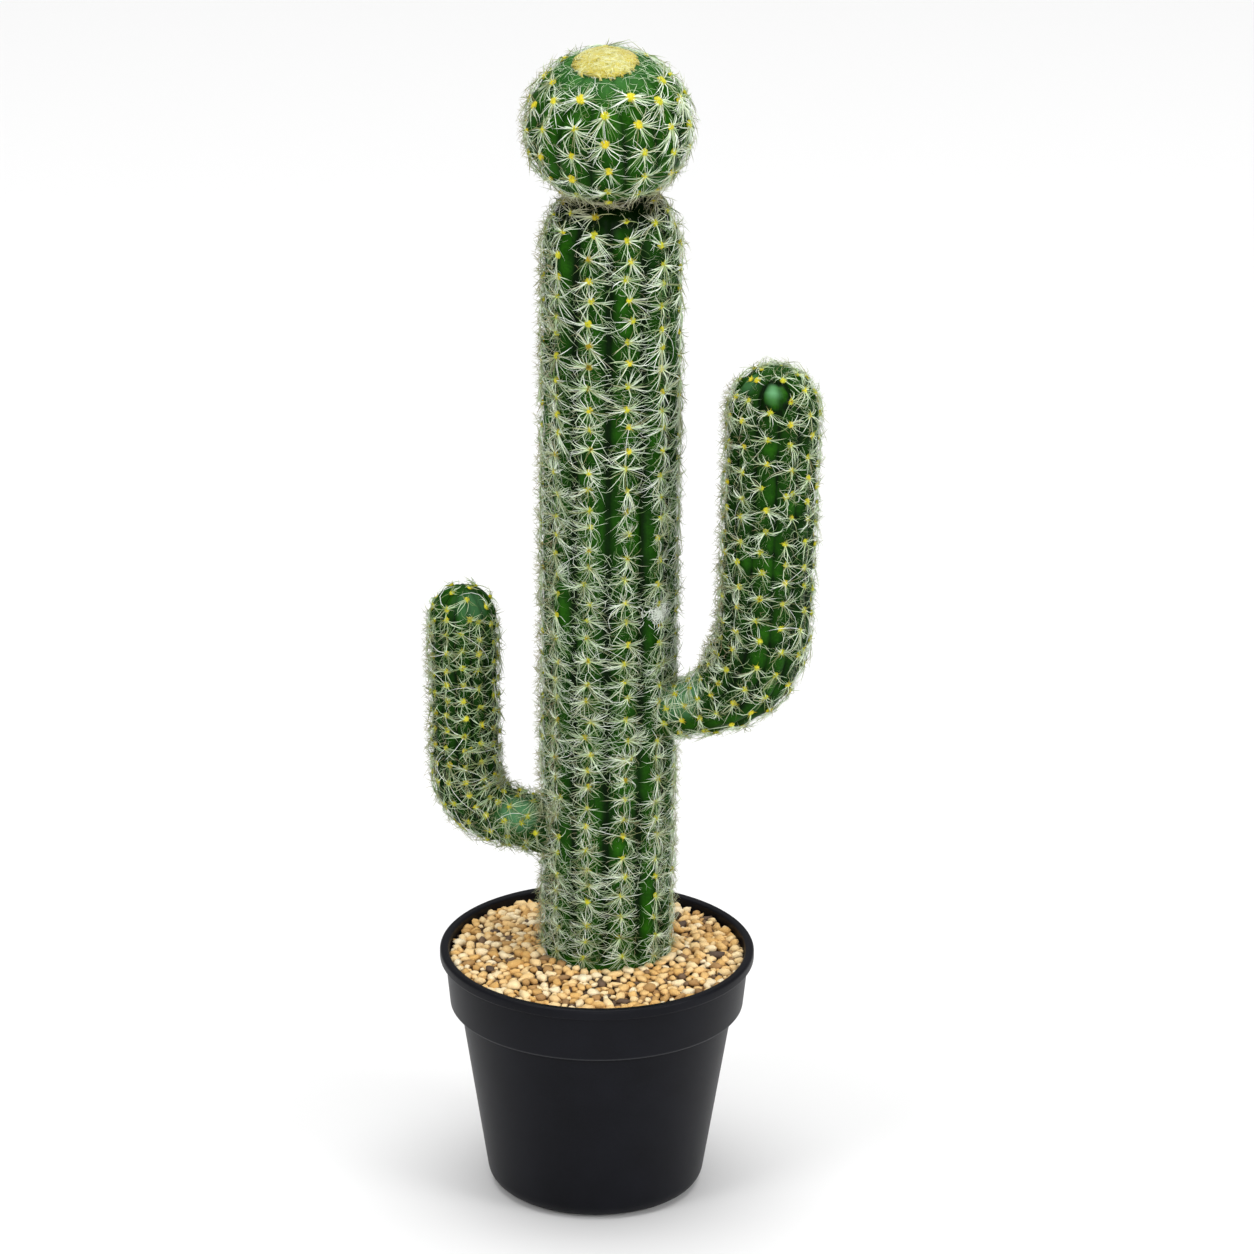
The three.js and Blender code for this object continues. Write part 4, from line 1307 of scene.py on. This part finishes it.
def crown_cushion():
    """A low cushion of matted wool."""
    bm = bmesh.new()
    low = CROWN_SEAT + 0.3
    profile = [(0, low), (CROWN_RADIUS - 1.2, low)]
    for i in range(1, CROWN_ROWS + 1):
        turn = RIGHT_ANGLE * i / CROWN_ROWS
        across = (CROWN_RADIUS - 0.6) * math.cos(turn)
        profile.append((across, low + CROWN_HEIGHT * math.sin(turn)))
    turned(bm, profile, CROWN_STEPS)
    tone_layer = bm.verts.layers.float.new("tone")
    for vert in bm.verts:
        lump = noise.noise(vert.co * 0.45) * 0.9
        vert.co.z += lump * smoothstep(vert.co.z, low, CROWN_SEAT + 2)
        vert[tone_layer] = clamp(0.45 + 0.5 * noise.noise(vert.co * 0.3))
        vert.co = on_head(vert.co)
    finish_piece("crown_cushion", bm, WOOL, ["crown_wool"])


def crown_curls(random):
    """Loose curls over the cushion, with a ragged golden edge."""
    curls = []
    for _ in range(CROWN_CURLS):
        away = (CROWN_RADIUS - 1.4) * math.sqrt(random.random())
        turn = random.uniform(0, FULL_TURN)
        edge = smoothstep(away / CROWN_RADIUS, 0.7, 1)
        x = away * math.cos(turn)
        y = away * math.sin(turn)
        swirl = noise.noise(Vector((x, y, 5)) * 0.13)
        heading = 2.5 * FULL_TURN * swirl + random.gauss(0, 0.3)
        if random.random() < edge:
            aside = RIGHT_ANGLE * random.choice((0.7, 1, -1, -0.7))
            heading = turn + aside + random.gauss(0, 0.3)
        length = random.uniform(4, 9.5) * (1 - 0.8 * edge)
        curl = random.gauss(0, 1.6)
        path = []
        for j in range(CURL_STEPS + 1):
            share = j / CURL_STEPS
            away = math.hypot(x, y) / CROWN_RADIUS
            top = CROWN_SEAT + 0.1 + CROWN_HEIGHT * math.sqrt(max(0, 1 - min(away, 1) ** 2))
            top -= 3.5 * max(0, away - 1) * CROWN_RADIUS * 0.2
            lift = 0.4 * math.sin(math.pi * share) * random.uniform(0.4, 1)
            path.append(on_head(Vector((x, y, top + lift))))
            x += length / CURL_STEPS * math.cos(heading + curl * share)
            y += length / CURL_STEPS * math.sin(heading + curl * share)
            past_rim = max(1, math.hypot(x, y) / (CROWN_RADIUS + CURLS_PAST_RIM))
            x /= past_rim
            y /= past_rim
        patch = 0.9 * noise.noise(Vector((x, y, 9)) * 0.16)
        tone = clamp(random.gauss(0.7 + patch - 0.54 * edge, 0.1), mix(0.25, 0.1, edge))
        if random.random() < DARK_CURLS:
            tone = 0
        curls.append(Hair(path, HEAD_LEAN @ UP, random.uniform(0.3, 0.6), tone))
    bent_hairs("crown_curls", curls, WOOL, ["crown_wool"])


# Everything in place.
column_phase = math.radians(COLUMN_TURN_DEG) - RIGHT_ANGLE
column_end = SHOULDER_START + RIGHT_ANGLE * (COLUMN_TOP - SHOULDER_START)


def arm_stem(name, arm, ribs, depth, pitch, bald):
    """bald is how far short of its tip the rows of areoles end."""
    tip = arm_length(arm) + RIGHT_ANGLE * arm.radius
    return Stem(
        name, lambda s: arm_section(arm, s), ribs, phase=0.2, radius=arm.radius, depth=depth,
        crease=0.45, fine_below=500, skin=(0, tip), ribbed=(14, 45),
        areoles=(15, tip - bald, pitch),
    )


column = Stem(
    "column", column_section, ribs=11, phase=column_phase, radius=COLUMN_RADIUS_HIGH, depth=4,
    crease=1, fine_below=330, skin=(COLUMN_FOOT, column_end), ribbed=(112, 127),
    areoles=(121, column_end - 8, 10.1),
)
right_arm = arm_stem("right_arm", RIGHT_ARM, ribs=12, depth=2.4, pitch=11, bald=4)
left_arm = arm_stem("left_arm", LEFT_ARM, ribs=12, depth=2, pitch=8.6, bald=20)
head = Stem(
    "head", head_section, ribs=14, phase=-RIGHT_ANGLE, radius=HEAD_RADIUS, depth=2.4,
    crease=0.7, fine_below=478, skin=(2, HEAD_RADIUS * math.pi - 2), ribbed=(-2, -1),
    areoles=(17, HEAD_RADIUS * math.pi - 24, 14),
)


def inside_arm_root(place):
    for arm in (RIGHT_ARM, LEFT_ARM):
        root = arm_section(arm, 0)
        away = place - root.middle
        along = away.dot(root.along)
        if along > 0 and (away - root.along * along).length < arm.root_radius + 1:
            return True
    return False


def inside_column(place):
    return math.hypot(place.x - COLUMN_X, place.y - COLUMN_Y) < COLUMN_RADIUS_HIGH + 1.5


def near_arm_bump(place):
    return inside_column(place) or (place - ARM_BUMP).length < ARM_BUMP_REACH


# Places on the column where the skin shows: height, turn from the front in degrees, and
# half the patch's height in millimetres and width in degrees.
BARE_PATCHES = (
    (350, -2.5, 25, 6.5), (343, 30, 23, 7.5), (479, -43, 17, 9), (304, -43, 12, 7),
    (396, 1, 9, 6), (436, 0.5, 7, 7), (221, 32, 15, 7), (154, 39.5, 24, 7),
    (292, 36, 10, 6), (203, -6, 8, 7), (185, 9, 7, 6), (186, -42.5, 10, 6),
    (460, 9, 7, 5), (447, 13, 5, 5), (484, 30, 7, 6), (494, 7, 6, 7),
    (384, -18.7, 5, 5), (370, -23, 5, 5), (430, 62, 9, 6), (498, 8, 7, 32),
    (395, -75, 16, 7), (240, 110, 22, 7), (410, 160, 26, 7), (180, -140, 20, 7),
    (330, -110, 18, 7), (455, 95, 16, 7), (300, 150, 14, 6), (470, -150, 14, 7),
)


def column_bare(place):
    turn = math.degrees(math.atan2(place.x - COLUMN_X, COLUMN_Y - place.y))
    most = 0
    for height, middle, half_height, half_turn in BARE_PATCHES:
        away = math.hypot((place.z - height) / half_height, (turn - middle) / half_turn)
        most = max(most, 0.9 * (1 - smoothstep(away, 0.6, 1.1)))
    return most


# Places on the right arm where the skin shows, and how far they reach.
ARM_BARE_SPOTS = (
    (Vector((80, -45, 395)), 5), (Vector((80, -45, 372)), 5), (Vector((91, -41, 363)), 5),
    (Vector((82, -44, 346)), 5), (Vector((81, -44, 334)), 5), (Vector((69, -42, 335)), 4),
    (Vector((80, -44, 300)), 6), (Vector((76, -43, 287)), 5), (Vector((87, -41, 285)), 5),
    (Vector((83, -38, 270)), 5), (Vector((73, -36, 258)), 6), (Vector((43, -24, 247)), 5),
    (Vector((53, -32, 248)), 6), (Vector((62, -34, 250)), 6), (ARM_BUMP, 8),
    (Vector((36, -24, 262)), 5), (Vector((67, -31, 424)), 7),
)


def arm_bare(place):
    most = 0
    for middle, reach in ARM_BARE_SPOTS:
        most = max(most, 1 - smoothstep((place - middle).length / reach, 0.7, 1.1))
    return most


def left_arm_bare(place):
    return 0.35 * smoothstep(place.z, LEFT_ARM_DOME, LEFT_ARM_DOME + 4)


def under_head(place):
    return place.z < HEAD_FOOT + 4


def never(place):
    return 0


scatter_areoles(
    column, Random(11), stagger=False, hidden=inside_arm_root, scale=0.95, tones=(0, 0.7)
)
scatter_areoles(
    right_arm, Random(41), stagger=False, hidden=near_arm_bump, scale=1, tones=(0.1, 0.8)
)
scatter_areoles(
    left_arm, Random(53), stagger=False, hidden=inside_column, scale=0.95, tones=(0.05, 0.6)
)
for past, turn_deg in LEFT_DOME_AREOLES:
    s = arm_length(LEFT_ARM) + past
    left_arm.areoles.append(Areole(s, math.radians(turn_deg), size=0.85, tone=0.5))
scatter_areoles(
    head, Random(23), stagger=True, hidden=under_head, scale=1.25, tones=(0.25, 0.85)
)


# A skin's painted shade at a place, and how pale its bloom is, with the right arm's painted
# highlight.
def column_shade(place):
    dark = HAIRY_SHADE * (1 - column_bare(place))
    # Painted shade on the column's shoulder under the ball.
    return dark + smoothstep(place.z, *SHOULDER_SHADE_HEIGHTS), 0


def head_shade(place):
    from_crown = (place - CROWN_MIDDLE).length
    bloom_and_highlight = HEAD_BLOOM * (1 - smoothstep(from_crown, CROWN_RADIUS, 2 * CROWN_RADIUS))
    # Painted shade on the ball's underside.
    return 1.05 - smoothstep(place.z, *UNDERSIDE_SHADE_HEIGHTS), bloom_and_highlight


def arm_shade(place):
    away = (place - ARM_BUMP).length
    # Painted highlight: a pale spot up and to the left of the bump's middle.
    shine = (place - ARM_BUMP - Vector((-1.5, 0, 2))).length
    bloom_and_highlight = 1 - smoothstep(shine, 0, 0.8 * ARM_BUMP_REACH)
    for middle, reach, strength in ARM_BLOOMS:
        near = 1 - smoothstep((place - middle).length, 0.4 * reach, reach)
        bloom_and_highlight = max(bloom_and_highlight, strength * near)
    # Painted shade: a dark ring round the bump's foot.
    ring = 1 - smoothstep(abs(away - ARM_BUMP_REACH), 0.5, 2)
    return 0.7 * ring + ARM_SHADE + 1.4 * HAIRY_SHADE * (1 - arm_bare(place)), bloom_and_highlight


skin_piece(column, column_shade)
skin_piece(right_arm, arm_shade, bulges=[(ARM_BUMP, ARM_BUMP_REACH, ARM_BUMP_RISE)])
skin_piece(left_arm, arm_shade)
skin_piece(head, head_shade, cut_at=HEAD_FOOT)
coats = (
    Coat(
        column, 111, count=30, length=11, combed=(0.25, 0.35), bare=column_bare,
        hidden=inside_arm_root, fuzz=9000, halo=4200, rise=5, tangled=13, tones=(0, 0.98),
    ),
    Coat(
        right_arm, 141, count=20, length=9.5, combed=(0.3, 0.35), bare=arm_bare,
        hidden=near_arm_bump, fuzz=4000, halo=1200, rise=4.6, tangled=3, tones=(0, 0.9),
    ),
    Coat(
        left_arm, 153, count=13, length=8.5, combed=(0.2, 0.3), bare=left_arm_bare,
        hidden=inside_column, fuzz=3000, halo=1200, rise=4.6, tangled=1, tones=(0, 0.72),
    ),
    Coat(
        head, 123, count=34, length=11, combed=(0.5, 0.1), bare=never,
        hidden=never, fuzz=300, halo=600, rise=4.2, tangled=0, tones=(0, 0.98),
    ),
)
strays = []
for coat in coats:
    stem = coat.stem
    areole_piece(stem)
    bristles = felt_bristles(stem, Random(coat.seed + 4), count=7)
    bent_hairs(f"{stem.name}_bristles", bristles, FELT)
    hairs = star_hairs(coat, Random(coat.seed))
    hairs += tangled_hairs(coat, Random(coat.seed + 3))
    hairs += halo_hairs(coat, Random(coat.seed + 5))
    hair_pieces(stem, hairs)
    bent_hairs(f"{stem.name}_fuzz", fuzz_hairs(coat, Random(coat.seed + 1)), WHITE)
    strays += stray_hairs(coat, Random(coat.seed + 2))
bent_hairs("crown_strands", crown_strands(head, Random(181), count=300), WHITE)
bent_hairs("neck_skirt", neck_skirt(head, Random(191), count=220), WHITE)
bent_hairs("stray_hairs", strays, WHITE)
tuft = cotton_tuft(
    column, Random(171), TUFT_HEIGHT, math.radians(TUFT_TURN_DEG), reach=8.5, count=170
)
bent_hairs("cotton_tuft", tuft, WHITE)
crown_cushion()
crown_curls(Random(31))
gravel_bed()
pebble_piece()
pot_piece()
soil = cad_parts["potting_soil"]
soil.data.materials.clear()
soil.data.materials.append(SOIL)


# Floor, light and camera, in metres.
FLOOR_SIZE = 8
FLOOR_GREY = 0.74
WORLD_STRENGTH = 0.37
SENSOR_WIDTH = 36
LENS = 300.44
EYE_PLACE = (0, -4.56, 2.17035)
EYE_PITCH_DEG = 22.454
EYE_TURN_DEG = -0.165
EYE_ROLL_DEG = 0.45
SoftLight = namedtuple("SoftLight", "name place target size power")
SOFT_LIGHTS = (
    SoftLight("key", place=(-2.2, -2.0, 2.4), target=(0, 0, 0.3), size=1.3, power=32),
    SoftLight("fill", place=(2.6, -1.6, 1.4), target=(0, 0, 0.3), size=1.4, power=41),
    SoftLight("front", place=(0.2, -4, 1), target=(0, 0, 0.25), size=2, power=44),
    SoftLight("top", place=(0, 0.3, 4.5), target=(0, 0.3, 0), size=5, power=232),
)

bm = bmesh.new()
bmesh.ops.create_grid(bm, x_segments=1, y_segments=1, size=FLOOR_SIZE)
material, shader = new_material("studio_white", roughness=0.9, specular=0.1)
shader.inputs["Base Color"].default_value = (FLOOR_GREY, FLOOR_GREY, FLOOR_GREY, 1)
studio_floor = add_object("studio_floor", to_mesh("studio_floor", bm))
studio_floor.data.materials.append(material)

for soft in SOFT_LIGHTS:
    light = bpy.data.lights.new(soft.name, "AREA")
    light.shape = "DISK"
    light.size = soft.size
    light.energy = soft.power
    lamp = add_object(soft.name, light)
    lamp.location = soft.place
    aim = Vector(soft.target) - Vector(soft.place)
    lamp.rotation_euler = aim.to_track_quat("-Z", "Y").to_euler()

world = bpy.data.worlds.new("studio")
world.use_nodes = True
world.node_tree.nodes["Background"].inputs["Color"].default_value = (1, 1, 1, 1)
world.node_tree.nodes["Background"].inputs["Strength"].default_value = WORLD_STRENGTH
scene.world = world
scene.view_settings.view_transform = "Standard"

camera = bpy.data.cameras.new("camera")
camera.sensor_width = SENSOR_WIDTH
camera.lens = LENS
camera.clip_end = 50
eye = add_object("camera", camera)
eye.matrix_world = (
    Matrix.Translation(EYE_PLACE)
    @ Matrix.Rotation(math.radians(EYE_TURN_DEG), 4, "Z")
    @ Matrix.Rotation(math.radians(90 - EYE_PITCH_DEG), 4, "X")
    @ Matrix.Rotation(math.radians(EYE_ROLL_DEG), 4, "Z")
)
scene.camera = eye
